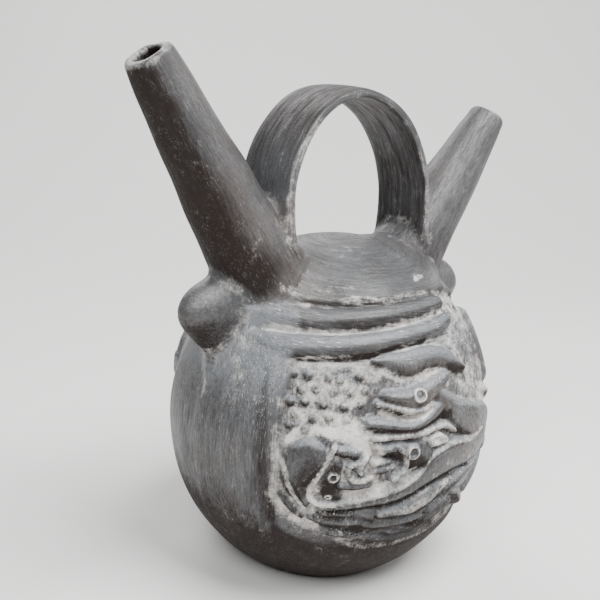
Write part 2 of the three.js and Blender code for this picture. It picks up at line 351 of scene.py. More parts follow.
@dataclass(frozen=True)
class Stroke:
    """A stroke of pale dust (positive strength) or of painted shadow (negative)."""

    name: str
    strength: float
    knots: Knots


@dataclass(frozen=True)
class Ring:
    """A round eye: a raised ring with a bead in it, on top of the forms."""

    name: str
    angle: float
    height: float
    radius: float
    tube: float = 0.7
    rise: float = 0.8
    bead: float = 0.0


@dataclass(frozen=True)
class DotField:
    """Pellets or pits in staggered rows between two angles and two heights."""

    from_angle: float
    to_angle: float
    bottom: float
    top: float
    pitch_angle: float
    pitch_height: float
    radius: float
    rise: float
    seed: int
    slant: float = 0.0


FRONT_RIDGES = (
    Ridge("upper band", 3.3, (
        (-92, 112.0, 5.0), (-84, 119.2, 4.8), (-74, 122.6, 4.6), (-60, 124.0, 4.5), (-30, 125.6, 4.3),
        (0, 127.6, 3.8), (16, 127.6, 3.0),
    )),
    Ridge("lower band", 3.2, (
        (-92, 104.0, 4.6), (-82, 110.4, 4.8), (-72, 113.6, 4.8), (-60, 114.6, 4.7), (-30, 117.0, 4.2),
        (-12, 118.9, 3.9), (3, 120.2, 3.8), (14, 121.4, 2.8),
    )),
    Ridge("leaf", 2.9, (
        (-29.5, 110.6, 0.8), (-24, 110.4, 3.4), (-17, 109.4, 5.2), (-10, 110.6, 4.8), (-3, 110.6, 4.8),
        (4, 107.8, 4.4), (8.5, 104.8, 2.8), (11, 102.8, 1.0),
    ), crown=0.5, tint=0.05),
    Ridge("upper head", 3.0, (
        (-26, 97.5, 1.8), (-21, 96.6, 3.2), (-15, 95.8, 4.9), (-9.5, 97.6, 4.6), (-4.5, 100.6, 3.6),
        (0, 102.4, 2.4),
    ), crown=0.7),
    Ridge("upper lip", 2.9, (
        (-29, 95.0, 0.6), (-25, 93.6, 1.0), (-20, 91.8, 1.1), (-14, 90.8, 1.0), (-9, 92.6, 0.7),
    ), crown=0.3, tint=0.5),
    Ridge("lower jaw", 2.8, (
        (-31.5, 87.4, 1.8), (-26, 86.6, 2.3), (-20, 85.2, 2.3), (-15.5, 85.2, 2.3), (-10, 87.6, 2.9),
        (-5, 91.6, 3.4),
    ), crown=0.7),
    Ridge("neck", 2.9, (
        (-6, 96.5, 3.0), (0, 89.0, 5.6), (6, 84.0, 7.2), (14, 79.5, 8.0), (24, 76.5, 7.6),
        (33, 73.5, 6.0),
    ), crown=1.0, tint=-0.5),
    Ridge("brow line", 3.3, (
        (-30, 81.6, 0.7), (-22, 82.0, 0.9), (-15, 81.4, 1.1), (-10, 82.8, 1.1), (-6, 83.6, 1.1),
        (-2, 82.3, 1.0), (1, 79.6, 0.7),
    ), crown=0.2, tint=0.55),
    Ridge("middle head", 2.9, (
        (-23, 77.0, 2.6), (-19.5, 75.8, 4.6), (-15, 74.0, 6.8), (-11.5, 72.0, 5.6),
    ), crown=0.9, tint=-0.5),
    Ridge("upper snout", 2.6, ((-28.8, 78.6, 1.2), (-26, 76.6, 2.2), (-22, 77.6, 2.4)), crown=0.6),
    Ridge("teeth above", 2.6, ((-30, 71.6, 0.8), (-25, 71.9, 1.1)), crown=0.3, tint=0.3),
    Ridge("teeth below", 2.5, (
        (-29.6, 68.6, 0.8), (-26, 68.8, 1.3), (-23.4, 69.8, 0.8),
    ), crown=0.3, tint=0.3),
    Ridge("mouth corner", 3.9, (
        (-22.6, 78.2, 0.7), (-20.2, 75.4, 0.9), (-19.2, 71.6, 1.1), (-20, 67.8, 1.1), (-23.2, 64.6, 0.8),
    ), crown=0.2, tint=0.5),
    Ridge("ear rim", 3.3, (
        (-10.6, 78.6, 0.5), (-8, 80.0, 0.6), (-5, 78.9, 0.6), (-3, 77.0, 0.5), (-6, 76.4, 0.6),
        (-9.6, 76.6, 0.6), (-10.6, 78.6, 0.5),
    ), crown=0.1, tint=0.7),
    Ridge("ear", 2.3, ((-9, 78.0, 1.8), (-4, 77.6, 1.2)), crown=0.2, tint=0.9),
    Ridge("headdress", 3.9, (
        (-50.2, 73.0, 8.4), (-52.2, 66.0, 6.4), (-52.0, 59.6, 3.2), (-49.8, 53.0, 1.0),
    ), crown=1.5, tint=-0.34),
    Ridge("head line", 3.3, (
        (-42.2, 78.4, 1.0), (-43.6, 74.0, 0.9), (-45.6, 68.4, 0.9), (-48.2, 62.0, 1.0),
        (-49.2, 58.0, 1.0), (-48, 54.6, 1.0), (-45, 52.8, 1.0), (-41, 53.2, 0.8),
    ), crown=0.2, tint=0.68),
    Ridge("forehead", 2.7, (
        (-41.2, 76.6, 1.6), (-38, 76.2, 2.5), (-35.6, 75.6, 1.8),
    ), crown=0.6, tint=-0.1),
    Ridge("face", 2.6, (
        (-41, 71.0, 2.4), (-42.4, 66.0, 4.2), (-43.4, 60.0, 4.2), (-40.5, 57.0, 2.4),
    ), crown=0.9, tint=-0.65),
    Ridge("snarl", 3.2, (
        (-32.2, 73.8, 0.7), (-34, 71.4, 0.9), (-37, 70.6, 0.9), (-37.6, 67.2, 1.1), (-35.6, 64.6, 1.1),
        (-32.8, 64.4, 1.0), (-30.4, 66.0, 0.8),
    ), crown=0.3, tint=0.6),
    Ridge("tongue", 3.0, ((-33, 70.6, 0.6), (-34.6, 69.2, 0.8), (-33.4, 67.4, 0.6)), crown=0.2, tint=0.5),
    Ridge("jaw", 2.7, ((-39.6, 61.6, 1.4), (-35, 61.6, 2.0), (-30.8, 62.6, 1.4)), crown=0.6, tint=-0.3),
    Ridge("long body", 2.9, (
        (-46, 50.6, 0.9), (-40, 51.4, 1.2), (-30, 54.0, 2.0), (-20, 56.4, 3.0), (-13, 60.8, 4.8),
        (-6, 65.4, 6.6), (3, 67.2, 6.8), (12, 66.2, 6.2), (21, 67.0, 6.0), (30, 69.0, 4.6),
    ), crown=1.0, tint=0.22),
    Ridge("long body edge", 3.4, (
        (-41, 53.2, 0.7), (-30, 56.8, 0.9), (-20, 60.2, 1.0), (-13.5, 65.0, 1.0), (-9.6, 71.0, 1.0),
        (0, 74.2, 1.1), (10, 72.4, 1.0), (20, 74.0, 0.9),
    ), crown=0.2, tint=0.55),
    Ridge("forelimb", 3.0, (
        (-25.5, 47.4, 1.0), (-20, 47.8, 2.6), (-13, 48.4, 4.2), (-7, 51.0, 4.0), (-2, 55.2, 2.8),
        (1.4, 57.4, 1.4),
    ), crown=0.8, tint=0.5),
    Ridge("hind limb", 3.0, (
        (-5, 43.2, 0.8), (-1, 47.8, 1.7), (4, 52.2, 2.6), (10, 55.6, 2.8), (17, 58.8, 2.4),
        (24, 61.5, 1.4),
    ), crown=0.7, tint=0.1),
    Ridge("lower limb", 2.6, (
        (-20, 36.2, 0.9), (-13, 36.4, 2.2), (-6, 37.6, 3.4), (1, 40.6, 3.0), (7, 43.4, 1.6),
    ), crown=0.8, tint=-0.4),
    Ridge("low ripple", 2.5, (
        (-41, 37.8, 0.8), (-33, 36.0, 1.2), (-25, 33.6, 1.2), (-14, 32.0, 1.0), (2, 33.4, 1.0),
    ), crown=0.3, tint=0.45),
    Ridge("mid ripple", 2.4, ((-29, 41.8, 1.0), (-18, 40.8, 1.6), (-8, 42.0, 1.0)), tint=0.2),
    Ridge("wedge", 2.8, (
        (6.6, 48.2, 0.7), (10.6, 46.4, 2.2), (15.6, 41.4, 2.8), (21.6, 36.0, 2.2),
    ), crown=0.6),
    Ridge("wave", 2.6, ((18, 44.0, 1.6), (27, 49.5, 2.8), (38, 57.0, 2.6)), crown=0.7),
    Ridge("left curl", 1.6, (
        (-58.6, 55.4, 0.8), (-56.6, 52.2, 1.7), (-53.8, 48.0, 1.5), (-51.2, 45.4, 0.8),
    ), tint=-0.5),
    Ridge("left strand", 1.6, (
        (-58.0, 69.4, 1.4), (-56.0, 61.6, 1.7), (-53.4, 55.0, 1.4), (-50.4, 49.6, 0.8),
    ), crown=0.6, tint=0.5),
    Ridge("left paw", 2.4, (
        (-48.2, 45.8, 1.6), (-43.4, 44.2, 2.6), (-37.6, 43.4, 1.9), (-32, 43.8, 1.2),
    ), crown=0.6, tint=0.1),
    Ridge("left crease", 2.4, (
        (-46.4, 49.4, 0.7), (-41.6, 47.8, 0.9), (-35, 48.4, 0.7),
    ), crown=0.2, tint=0.2),
    Ridge("far lobe", 3.5, (
        (46, 116.5, 4.0), (46.5, 109, 6.0), (46, 99, 6.4), (44, 90, 5.4),
    ), crown=1.0, tint=0.3, shoulder=4.6),
    Ridge("far fold", 2.8, ((28, 89.0, 1.2), (36, 84.0, 3.0), (46, 80.0, 4.6), (58, 80, 4.6)), crown=1.0),
    Ridge("tail", 3.2, (
        (26, 62.4, 2.4), (36, 60.6, 4.4), (46, 52.0, 3.2), (52, 44.0, 1.4),
    ), crown=1.0, tint=-0.2),
    Ridge("far corner", 2.6, ((44, 127.0, 3.0), (56, 125.0, 5.0), (72, 122.0, 6.0)), crown=1.2),
    Ridge("ground swell", 1.2, (
        (-47, 82.0, 4.0), (-36, 82.0, 5.0), (-26, 84.0, 5.0),
    ), crown=0.6, shoulder=5.0),
    Ridge("lower swell", 1.1, (
        (-46, 46.0, 4.0), (-20, 43.0, 6.0), (8, 47.0, 6.0), (30, 54.0, 6.0),
    ), crown=0.6, shoulder=6.0),
)

# Pale dust strokes, and with negative strength painted shadow strokes: under the bands, jaws, body and limbs,
# in the mouth, along grooves and edges, low down, and over the lower parts of the heads.
FRONT_DUST_AND_SHADOW = (
    Stroke("over headdress", 1.15, (
        (-57, 79, 1.6), (-54, 83.2, 2.0), (-48, 84.6, 2.2), (-42, 83.6, 2.4), (-37, 81.4, 2.4),
        (-33, 78.6, 1.8), (-31, 75.4, 1.2),
    )),
    Stroke("under band", 0.7, (
        (-58, 108.4, 0.9), (-50, 108.9, 1.1), (-42, 109.6, 1.0), (-34, 109.0, 0.9), (-30, 107.0, 1.2),
    )),
    Stroke("among pellets", 0.74, ((-54, 99, 5.0), (-45, 98, 6.0), (-36, 98, 5.0))),
    Stroke("low pellets", 0.85, ((-56, 90, 3.0), (-47, 89.6, 3.4), (-38, 87.0, 3.6), (-33, 83.0, 3.0))),
    Stroke("mouth gap", 1.0, (
        (-28, 91.6, 0.9), (-23, 89.6, 1.2), (-18, 88.4, 1.3), (-13, 88.6, 1.1), (-9, 91.0, 0.8),
    )),
    Stroke("under leaf", 0.8, (
        (-27, 107.4, 0.8), (-20, 103.4, 1.0), (-13, 103.8, 1.1), (-8, 105.4, 0.9), (-3, 105.8, 0.8),
    )),
    Stroke("beside jaws", 0.7, ((-32, 80.0, 2.0), (-28, 75.0, 2.0), (-31, 69.6, 1.8), (-29, 65.2, 1.6))),
    Stroke("under snarl", 0.85, (
        (-38, 56.6, 1.2), (-32, 59.4, 1.6), (-25, 61.4, 1.8), (-19, 63.6, 1.4), (-15, 68.0, 0.9),
    )),
    Stroke("left slope", 0.74, (
        (-60.5, 76, 1.2), (-60.3, 66, 2.0), (-59.8, 56, 2.7), (-57.2, 48, 3.0), (-53, 43.0, 2.8),
        (-47, 40.0, 2.0),
    )),
    Stroke("left wedge", 0.7, (
        (-57.4, 68, 1.4), (-55.6, 61, 1.3), (-53.2, 54.6, 1.0), (-50.6, 49.6, 0.6),
    )),
    Stroke("low sweep", 0.52, (
        (-40, 34.4, 0.9), (-32, 31.0, 1.6), (-22, 29.6, 1.8), (-8, 30.4, 1.6), (8, 32.6, 1.4),
    )),
    Stroke("left low", 0.3, ((-54, 43.6, 1.8), (-48, 40.6, 1.8), (-42, 40.6, 1.6), (-36, 39.6, 1.4))),
    Stroke("painted shadow under band", -0.8, (
        (-58, 109.6, 0.3), (-50, 110.4, 0.9), (-40, 111.2, 1.1), (-30, 112.6, 1.0), (-20, 114.8, 0.8),
        (-6, 116.2, 0.7),
    )),
    Stroke("painted shadow on tip", -0.5, ((2, 105.6, 1.6), (8, 103.4, 1.8), (11.5, 101.6, 1.2))),
    Stroke("painted shadow under jaw", -0.85, (
        (-31, 84.4, 0.9), (-24, 83.8, 1.1), (-16, 83.2, 1.1), (-9, 85.4, 1.1), (-2, 87.6, 1.4),
    )),
    Stroke("painted shadow in mouth", -0.95, ((-29, 74.6, 1.0), (-24, 73.8, 1.5), (-21, 72.6, 1.3))),
    Stroke("painted shadow under body", -0.9, (
        (-45, 48.8, 1.0), (-34, 50.2, 1.3), (-24, 51.4, 1.3), (-14, 54.0, 1.3), (-6, 57.4, 1.1),
        (3, 59.8, 1.0), (13, 59.8, 1.0),
    )),
    Stroke("painted shadow under limb", -0.7, (
        (-26, 45.4, 1.0), (-16, 44.2, 1.3), (-8, 45.6, 1.1), (0, 50.2, 0.9), (6, 54.0, 0.8),
    )),
    Stroke("painted shadow by headdress", -0.6, ((-57.4, 72, 1.2), (-57.6, 63, 1.3), (-55.6, 55, 1.2))),
    Stroke("painted shadow low", -0.6, ((-44, 41.6, 1.6), (-30, 38.6, 1.8), (-14, 39.8, 1.4), (0, 35.6, 1.6))),
    Stroke("low edge", 0.5, (
        (-40, 35.6, 1.0), (-28, 31.6, 1.2), (-14, 29.8, 1.2), (2, 30.6, 1.2), (18, 34.0, 1.0),
    )),
    Stroke("painted shadow on headdress", -0.5, ((-48.6, 70.0, 3.4), (-50.6, 64.0, 4.0), (-51.6, 58.0, 2.0))),
    Stroke("painted shadow on face", -0.75, ((-41.4, 69.6, 1.4), (-42.6, 64.0, 2.8), (-43.0, 58.6, 2.4))),
    Stroke("painted shadow on middle head", -0.6, ((-20.4, 72.6, 1.4), (-15.0, 70.4, 2.6), (-12.4, 69.0, 1.8))),
    Stroke("painted shadow below crease", -0.6, (
        (-47, 47.0, 1.0), (-40, 46.2, 1.4), (-33, 46.0, 1.2), (-27, 43.6, 0.9),
    )),
    Stroke("right strip high", 0.5, (
        (23, 127.0, 2.6), (21, 118.0, 4.0), (17, 111.0, 4.6), (16, 104.0, 3.6),
    )),
    Stroke("right strip middle", 0.5, (
        (30, 124.0, 5.0), (28, 112.0, 6.0), (25, 100.0, 6.0), (31, 94.0, 4.0),
    )),
    Stroke("right strip low", 0.7, ((9, 97.6, 1.6), (15, 93.6, 3.2), (22, 91.0, 3.4), (32, 88.0, 3.0))),
    Stroke("seam dust", 0.6, ((-90, 106, 0.9), (-87, 116, 1.1), (-80, 124.4, 1.3), (-72, 128.2, 0.8))),
    Stroke("dome joint", 0.5, (
        (-80, 126.0, 0.8), (-66, 129.2, 0.9), (-44, 130.6, 1.1), (-24, 131.0, 0.9), (2, 131.6, 0.9),
        (26, 130.0, 0.8),
    )),
    Stroke("dome joint patch", 0.68, (
        (-43, 130.6, 0.9), (-37, 131.0, 1.7), (-30, 131.0, 1.5), (-25, 131.0, 0.6),
    )),
    Stroke("dome joint end", 0.3, ((-73, 127.6, 0.7), (-66, 129.2, 1.3), (-60, 129.8, 0.8))),
    Stroke("dome right patch", 0.66, ((8, 135.6, 0.8), (14, 136.4, 1.4), (20, 136.0, 0.9))),
    Stroke("dome patch", 0.42, ((-58, 132.4, 1.6), (-46, 134.0, 2.2), (-34, 134.2, 1.8))),
    Stroke("painted shadow by edge", -0.38, (
        (-66.6, 104, 0.5), (-66.4, 93, 1.6), (-65.0, 74, 2.3), (-63.8, 56, 2.4), (-61.5, 42, 2.0),
    )),
    Stroke("painted shadow low left", -0.5, ((-60, 38, 1.8), (-50, 30, 2.2), (-36, 27, 1.8))),
    Stroke("painted shadow over band", -0.4, (
        (-56, 127.6, 0.7), (-36, 128.8, 0.9), (-14, 129.6, 0.9), (6, 129.8, 0.8),
    )),
    Stroke("bright groove", 0.62, (
        (-52, 120.0, 0.5), (-40, 120.8, 0.8), (-30, 121.2, 0.9), (-16, 122.2, 0.9), (-6, 123.0, 0.6),
    )),
    Stroke("under lug", 0.7, ((-96, 103, 1.6), (-94, 98, 1.9), (-91, 92, 1.5), (-90, 86, 0.9))),
    Stroke("lug foot", 0.72, ((-84, 124, 1.4), (-84, 117, 1.6), (-87, 110, 1.6), (-92, 104, 1.3))),
    Stroke("side flecks", 0.34, ((-79, 116, 2.6), (-77, 104, 3.4), (-78, 92, 3.0))),
    Stroke("band groove", 0.4, (
        (-76, 118.4, 0.7), (-50, 120.0, 0.9), (-38, 121.0, 1.0), (-25, 122.0, 1.0), (-12, 123.8, 0.8),
    )),
)

FRONT_LINES = (
    Line("claw high", 0.9, ((-34.2, 89.0, 0.6), (-32.6, 88.8, 0.7))),
    Line("claw middle", 0.9, ((-34.6, 86.8, 0.6), (-32.8, 86.4, 0.7))),
    Line("claw low", 0.9, ((-33.6, 84.6, 0.6), (-32.0, 84.4, 0.7))),
    Line("crest mark", -0.6, ((-8.6, 104.4, 0.5), (-5.6, 104.6, 0.7), (-2.6, 102.8, 0.5))),
    Line("crest fold", -0.6, ((-7.4, 102.2, 0.5), (-4.6, 101.2, 0.6))),
    Line("nostril", 0.5, ((-26.2, 98.4, 0.7), (-25.4, 98.4, 0.7))),
    Line("brow cut", -0.5, ((-41.6, 71.4, 0.5), (-39.0, 72.6, 0.6), (-37.4, 74.0, 0.5))),
    Line("nose bridge", 0.6, ((-38.6, 70.6, 0.6), (-36.6, 73.0, 0.8), (-34.6, 73.6, 0.6))),
    Line("jaw cut", -0.6, ((-39.2, 59.4, 0.5), (-35.0, 59.6, 0.7), (-31.4, 60.4, 0.5))),
    Line("leaf under cut", -0.9, (
        (-29, 112.6, 0.7), (-22, 114.4, 0.9), (-12, 115.6, 0.9), (-3, 115.0, 0.9), (1, 113.2, 0.6),
    )),
    Line("band under cut", -0.7, (
        (-58, 110.2, 0.8), (-48, 110.8, 1.0), (-36, 111.4, 1.0), (-27, 112.4, 0.7),
    )),
    Line("claw tip", 0.8, ((0.0, 59.6, 0.6), (2.0, 58.4, 0.8), (2.6, 56.4, 0.6))),
    Line("mouth dark", -0.9, ((-27.6, 74.2, 0.9), (-24.4, 74.4, 1.2), (-22.4, 73.6, 0.8))),
    Line("body under cut", -1.0, (
        (-45, 49.4, 0.7), (-34, 50.8, 0.9), (-24, 52.0, 1.0), (-14, 54.8, 1.0), (-6, 58.0, 0.9),
        (3, 60.2, 0.9), (13, 60.0, 0.8), (24, 61.6, 0.7),
    )),
    Line("limb under cut", -0.9, (
        (-26, 45.6, 0.6), (-16, 44.4, 0.8), (-8, 45.8, 0.9), (0, 50.4, 0.8), (7, 54.2, 0.7),
    )),
    Line("limb crease", -0.5, ((-24, 45.0, 0.6), (-14, 44.2, 0.7), (-8, 46.4, 0.6))),
    Line("dome seam", -1.0, (
        (-91, 108.0, 0.9), (-87, 117.0, 1.3), (-81, 123.6, 1.3), (-74, 127.4, 1.0), (-66, 129.0, 0.6),
    )),
    Line("edge groove", -0.65, (
        (-61.5, 40.0, 1.2), (-64.0, 56.0, 1.9), (-65.0, 74.0, 2.2), (-66.6, 90.0, 2.0),
        (-67.6, 104.0, 1.0),
    )),
    Line("edge swelling", 0.6, (
        (-69.5, 44.0, 1.6), (-70.5, 62.0, 2.0), (-71.5, 84.0, 2.0), (-73.0, 102.0, 1.6),
    )),
)

FRONT_RINGS = (
    Ring("upper eye", -14.2, 97.0, 2.55, 0.85, 1.0, 0.3),
    Ring("middle eye", -17.2, 75.2, 2.4, 0.85, 1.1, 0.2),
    Ring("left eye", -42.0, 66.0, 1.8, 0.75, 1.0, 0.7),
    Ring("chin bead", -43.2, 56.6, 1.2, 0.6, 0.7),
    Ring("cheek bead", -46.8, 59.0, 0.7, 0.6, 0.6),
)

FRONT_DOTS = (
    DotField(-58, -32, 84.5, 107.5, 5.7, 5.0, 2.0, 1.3, 5),
    DotField(-41, -33, 80.5, 83.5, 5.6, 4.6, 1.7, 1.4, 8),
    DotField(8, 40, 90, 125, 5.6, 5.4, 1.35, -0.9, 11, 0.35),
)

BACK_RIDGES = (
    Ridge("upper band", 3.3, (
        (-72, 124.5, 3.6), (-30, 126.2, 3.8), (0, 127.2, 3.9), (30, 126.2, 3.8), (72, 124.5, 3.6),
    ), crown=1.2),
    Ridge("lower band", 3.1, (
        (-72, 115.4, 4.4), (-30, 116.8, 4.2), (0, 118, 4.2), (30, 116.8, 4.2), (72, 115.4, 4.4),
    ), crown=1.2),
    Ridge("head", 3.4, ((-36, 84.0, 6.4), (-28, 85.6, 8.0), (-20, 86.0, 8.4)), crown=1.5),
    Ridge("snout", 2.9, ((-48, 79.0, 2.6), (-42, 80.4, 3.8), (-35, 81.0, 4.4)), crown=0.9),
    Ridge("body", 3.3, (
        (-21, 81.0, 6.4), (-6, 73.0, 8.0), (10, 69.4, 8.4), (28, 71.6, 7.6), (38, 78.0, 5.8),
        (44, 87.0, 4.4),
    ), crown=1.5),
    Ridge("forelimb", 2.9, (
        (-13, 69.0, 4.2), (-22, 60.0, 3.8), (-30, 55.2, 3.4), (-41, 53.8, 2.6),
    ), crown=0.9),
    Ridge("hind limb", 2.9, (
        (23, 65.0, 4.4), (20, 56.0, 3.8), (12, 48.8, 3.4), (1, 46.0, 2.6),
    ), crown=0.9),
    Ridge("tail", 2.9, ((44, 86.0, 4.0), (42, 96.0, 3.6), (33, 102.0, 3.2), (17, 104.2, 2.2)), crown=0.9),
    Ridge("wave", 2.6, (
        (-48, 43.0, 1.8), (-24, 39.2, 2.8), (0, 37.8, 3.0), (24, 39.2, 2.8), (48, 43.0, 1.8),
    ), crown=0.7),
    Ridge("ear", 3.6, ((-24, 94.0, 1.8), (-18, 97.6, 2.4), (-11, 97.0, 1.6)), crown=0.6),
)

BACK_DUST = (
    Stroke("round head", 0.6, (
        (-50, 88, 2.0), (-38, 95, 2.4), (-26, 98, 1.8), (-14, 92, 2.4), (2, 84, 2.2),
    )),
    Stroke("under body", 0.6, ((-34, 70, 2.6), (-26, 66, 2.4), (-8, 60, 2.6), (8, 58, 2.6))),
    Stroke("inside tail", 0.6, ((14, 84, 3.4), (28, 86, 3.4), (30, 94, 2.8))),
    Stroke("low edge", 0.5, ((-40, 34, 1.4), (-20, 31, 1.4), (0, 30, 1.4), (20, 31, 1.4), (40, 34, 1.4))),
)

BACK_LINES = (
    Line("mouth", -0.9, ((-49, 77.6, 0.9), (-41, 78.0, 1.1), (-33, 80.0, 0.9))),
    Line("toe one", -0.7, ((-43, 55.0, 0.8), (-39, 54.6, 0.8))),
    Line("toe two", -0.7, ((-43, 52.2, 0.8), (-39, 52.4, 0.8))),
    Line("band groove", -0.6, (
        (-84, 117.6, 0.9), (-70, 120.0, 1.1), (-30, 121.6, 1.1), (0, 122.6, 1.1), (30, 121.6, 1.1),
        (70, 120.0, 1.1), (84, 117.6, 0.9),
    )),
    Line("dome seam", -0.7, (
        (-92, 112.0, 0.8), (-84, 122.0, 1.1), (-72, 128.6, 1.2), (-30, 131.4, 1.2), (0, 132.2, 1.2),
        (30, 131.4, 1.2), (72, 128.6, 1.2), (92, 112.0, 0.8),
    )),
)

BACK_RINGS = (
    Ring("eye", -27.5, 87.0, 2.8, 0.9, 0.9, 0.5),
)

BACK_DOTS = (
    DotField(-56, -44, 92, 107, 6.6, 5.6, 1.9, 1.1, 21),
    DotField(-34, 10, 100, 108, 6.6, 5.6, 1.9, 1.1, 22),
    DotField(-8, 18, 52, 58, 6.6, 5.6, 1.9, 1.1, 23),
)


@dataclass(frozen=True)
class Panel:
    """One relief panel: sunk ground with raised forms, fine lines, eyes and pellets."""

    body: RoundBody
    middle: float
    ridges: tuple[Ridge, ...]
    lines: tuple[Line, ...]
    rings: tuple[Ring, ...]
    dots: tuple[DotField, ...]
    strokes: tuple[Stroke, ...]
    half_angle: float = 61.0
    top: float = 132.4
    bottom: float = 26.5
    corner_rise: float = 9.0
    top_fall: float = 3.0
    side_slope: float = 6.5
    band_reach: float = 19.0
    band_height: float = 110.5
    top_slope: float = 3.6
    bottom_slope: float = 11.0
    ground_depth: float = 2.4
    skirt: float = 1.1
    samples: int = 7

    def sunk(self, angle: np.ndarray, height: np.ndarray) -> np.ndarray:
        """How fully a place lies inside the panel: 0 on the plain sides, 1 on the ground.

        The distance to the nearest edge, over the slope's width, is eased. Towards the panel's sides the
        lower edge climbs and the upper edge sinks. Where the bands are, the panel reaches further round.

        Args:
            angle: Degrees from the panel's middle.
            height: Heights.

        Returns:
            Shares from 0 to 1.
        """
        per_degree = math.radians(self.body.half_width)
        off = np.abs(angle)
        reach = self.half_angle + 4.0 + self.band_reach * eased(height, self.band_height, 5.0)
        sideways = (reach - off) * per_degree / self.side_slope
        floor = self.bottom + self.corner_rise * eased(off, 34.0, 24.0)
        outer_fall = 0.012 * np.clip(off - 62.0, 0.0, None) ** 2
        ceiling = self.top - self.top_fall * (angle / self.half_angle) ** 2 - outer_fall
        upward = np.minimum((ceiling - height) / self.top_slope, (height - floor) / self.bottom_slope)
        return smooth_step(np.minimum(sideways, upward))

    def along(self, points: np.ndarray, knots: Knots, widths: float,
              margin: float = 0.0) -> tuple[np.ndarray, np.ndarray, np.ndarray]:
        """Points near a smooth curve on the body, their distances from it and its half widths there.

        Args:
            points: Points on the smooth body, shape (n, 3).
            knots: Knots of the curve, as angle, height and half width.
            widths: How many half widths out a point counts as near.
            margin: Millimetres added to that.

        Returns:
            Indices of the points, and their distances and half widths.
        """
        curve = catmull_rom(np.array(knots, float), self.samples)
        path = self.body.point(curve[:, 0] + self.middle, curve[:, 1])
        half = curve[:, 2]
        found = self.near(points, path, widths * half.max() + margin)
        gap, place = nearest_on_line(points[found], path)
        return found, gap, np.interp(place, np.arange(len(half)), half)

    def from_eye(self, points: np.ndarray, ring: Ring) -> np.ndarray:
        """Distances of points from the middle of an eye."""
        centre = self.body.point(np.array(ring.angle + self.middle), np.array(ring.height))
        return np.linalg.norm(points - centre, axis=1)

    def near(self, points: np.ndarray, places: np.ndarray, reach: float) -> np.ndarray:
        """Which points lie in the box round some places, widened by a reach."""
        low = places.min(axis=0) - reach
        high = places.max(axis=0) + reach
        return np.flatnonzero(((points > low) & (points < high)).all(axis=1))

    def forms(self, points: np.ndarray) -> tuple[np.ndarray, np.ndarray]:
        """Height of the raised forms over the ground, and the tint of the highest form.

        Each ridge keeps its rise up to a shoulder, and falls from there to the ground as a parabola
        that ends a little outside the half width; a crown lowers it with the square of the distance
        from its middle. The highest ridge wins. Its tint fades out down its flank.

        Args:
            points: Points on the smooth body, shape (n, 3).

        Returns:
            Heights and tints, each of shape (n,).
        """
        height = np.zeros(len(points))
        tint = np.zeros(len(points))
        for ridge in self.ridges:
            found, gap, width = self.along(points, ridge.knots, 1.0, self.skirt)
            fall = np.minimum(width, ridge.shoulder)
            drop = np.clip((gap - width + fall) / (fall + self.skirt), 0.0, 1.0)
            share = np.clip(gap / (width + self.skirt), 0.0, 1.0)
            rise = (ridge.rise - ridge.crown * share ** 2) * (1.0 - drop ** 2)
            tinted = ridge.tint * eased(rise / ridge.rise, 0.4, 0.4)
            tint[found] = np.where(rise > height[found], tinted, tint[found])
            height[found] = np.maximum(height[found], rise)
        return height, tint

    def details(self, points: np.ndarray) -> np.ndarray:
        """Height that the fine lines and eyes add to the forms, each with an eased round section."""
        added = np.zeros(len(points))
        for line in self.lines:
            found, gap, width = self.along(points, line.knots, 2.0, 0.5)
            added[found] += line.rise * faded(gap, 1.8 * width)
        for ring in self.rings:
            gap = self.from_eye(points, ring)
            added += ring.rise * faded(np.abs(gap - ring.radius), 1.5 * ring.tube)
            added += ring.bead * faded(gap, max(0.6 * ring.radius, 0.5))
        return added

    def dotted(self, points: np.ndarray) -> tuple[np.ndarray, np.ndarray]:
        """Height of the pellets (positive) and pits (negative) on the ground, and nearness of a rim.

        Each dot is a low dome, the rise times 1 less the squared share of its radius, on a
        staggered grid that seeded jitter loosens.

        Args:
            points: Points on the smooth body, shape (n, 3).

        Returns:
            Heights, and distances from the nearest dot's middle as shares of its radius, each (n,).
        """
        height = np.zeros(len(points))
        share = np.full(len(points), 9.0)
        for dots in self.dots:
            rng = np.random.default_rng(dots.seed)
            rows = np.arange(dots.bottom, dots.top + 0.1, dots.pitch_height)
            columns = np.arange(dots.from_angle, dots.to_angle + 0.1, dots.pitch_angle)
            row, column = np.meshgrid(np.arange(len(rows)), columns, indexing="ij")
            angle = (column + (row % 2) * dots.pitch_angle / 2).ravel()
            level = np.broadcast_to(rows[:, None], row.shape).ravel()
            angle = angle + rng.uniform(-0.17, 0.17, angle.shape) * dots.pitch_angle
            level = level + rng.uniform(-0.15, 0.15, angle.shape) * dots.pitch_height
            level = level - dots.slant * (angle - dots.from_angle) * (level < dots.top - 12)
            size = dots.radius * rng.uniform(0.75, 1.15, angle.shape)
            centres = self.body.point(angle + self.middle, level)
            found = self.near(points, centres, dots.radius * 1.3)
            gap = (np.linalg.norm(points[found][:, None, :] - centres[None, :, :], axis=2) / size).min(axis=1)
            height[found] += dots.rise * np.clip(1.0 - gap ** 2, 0.0, None) ** 0.6
            share[found] = np.minimum(share[found], gap)
        return height, share

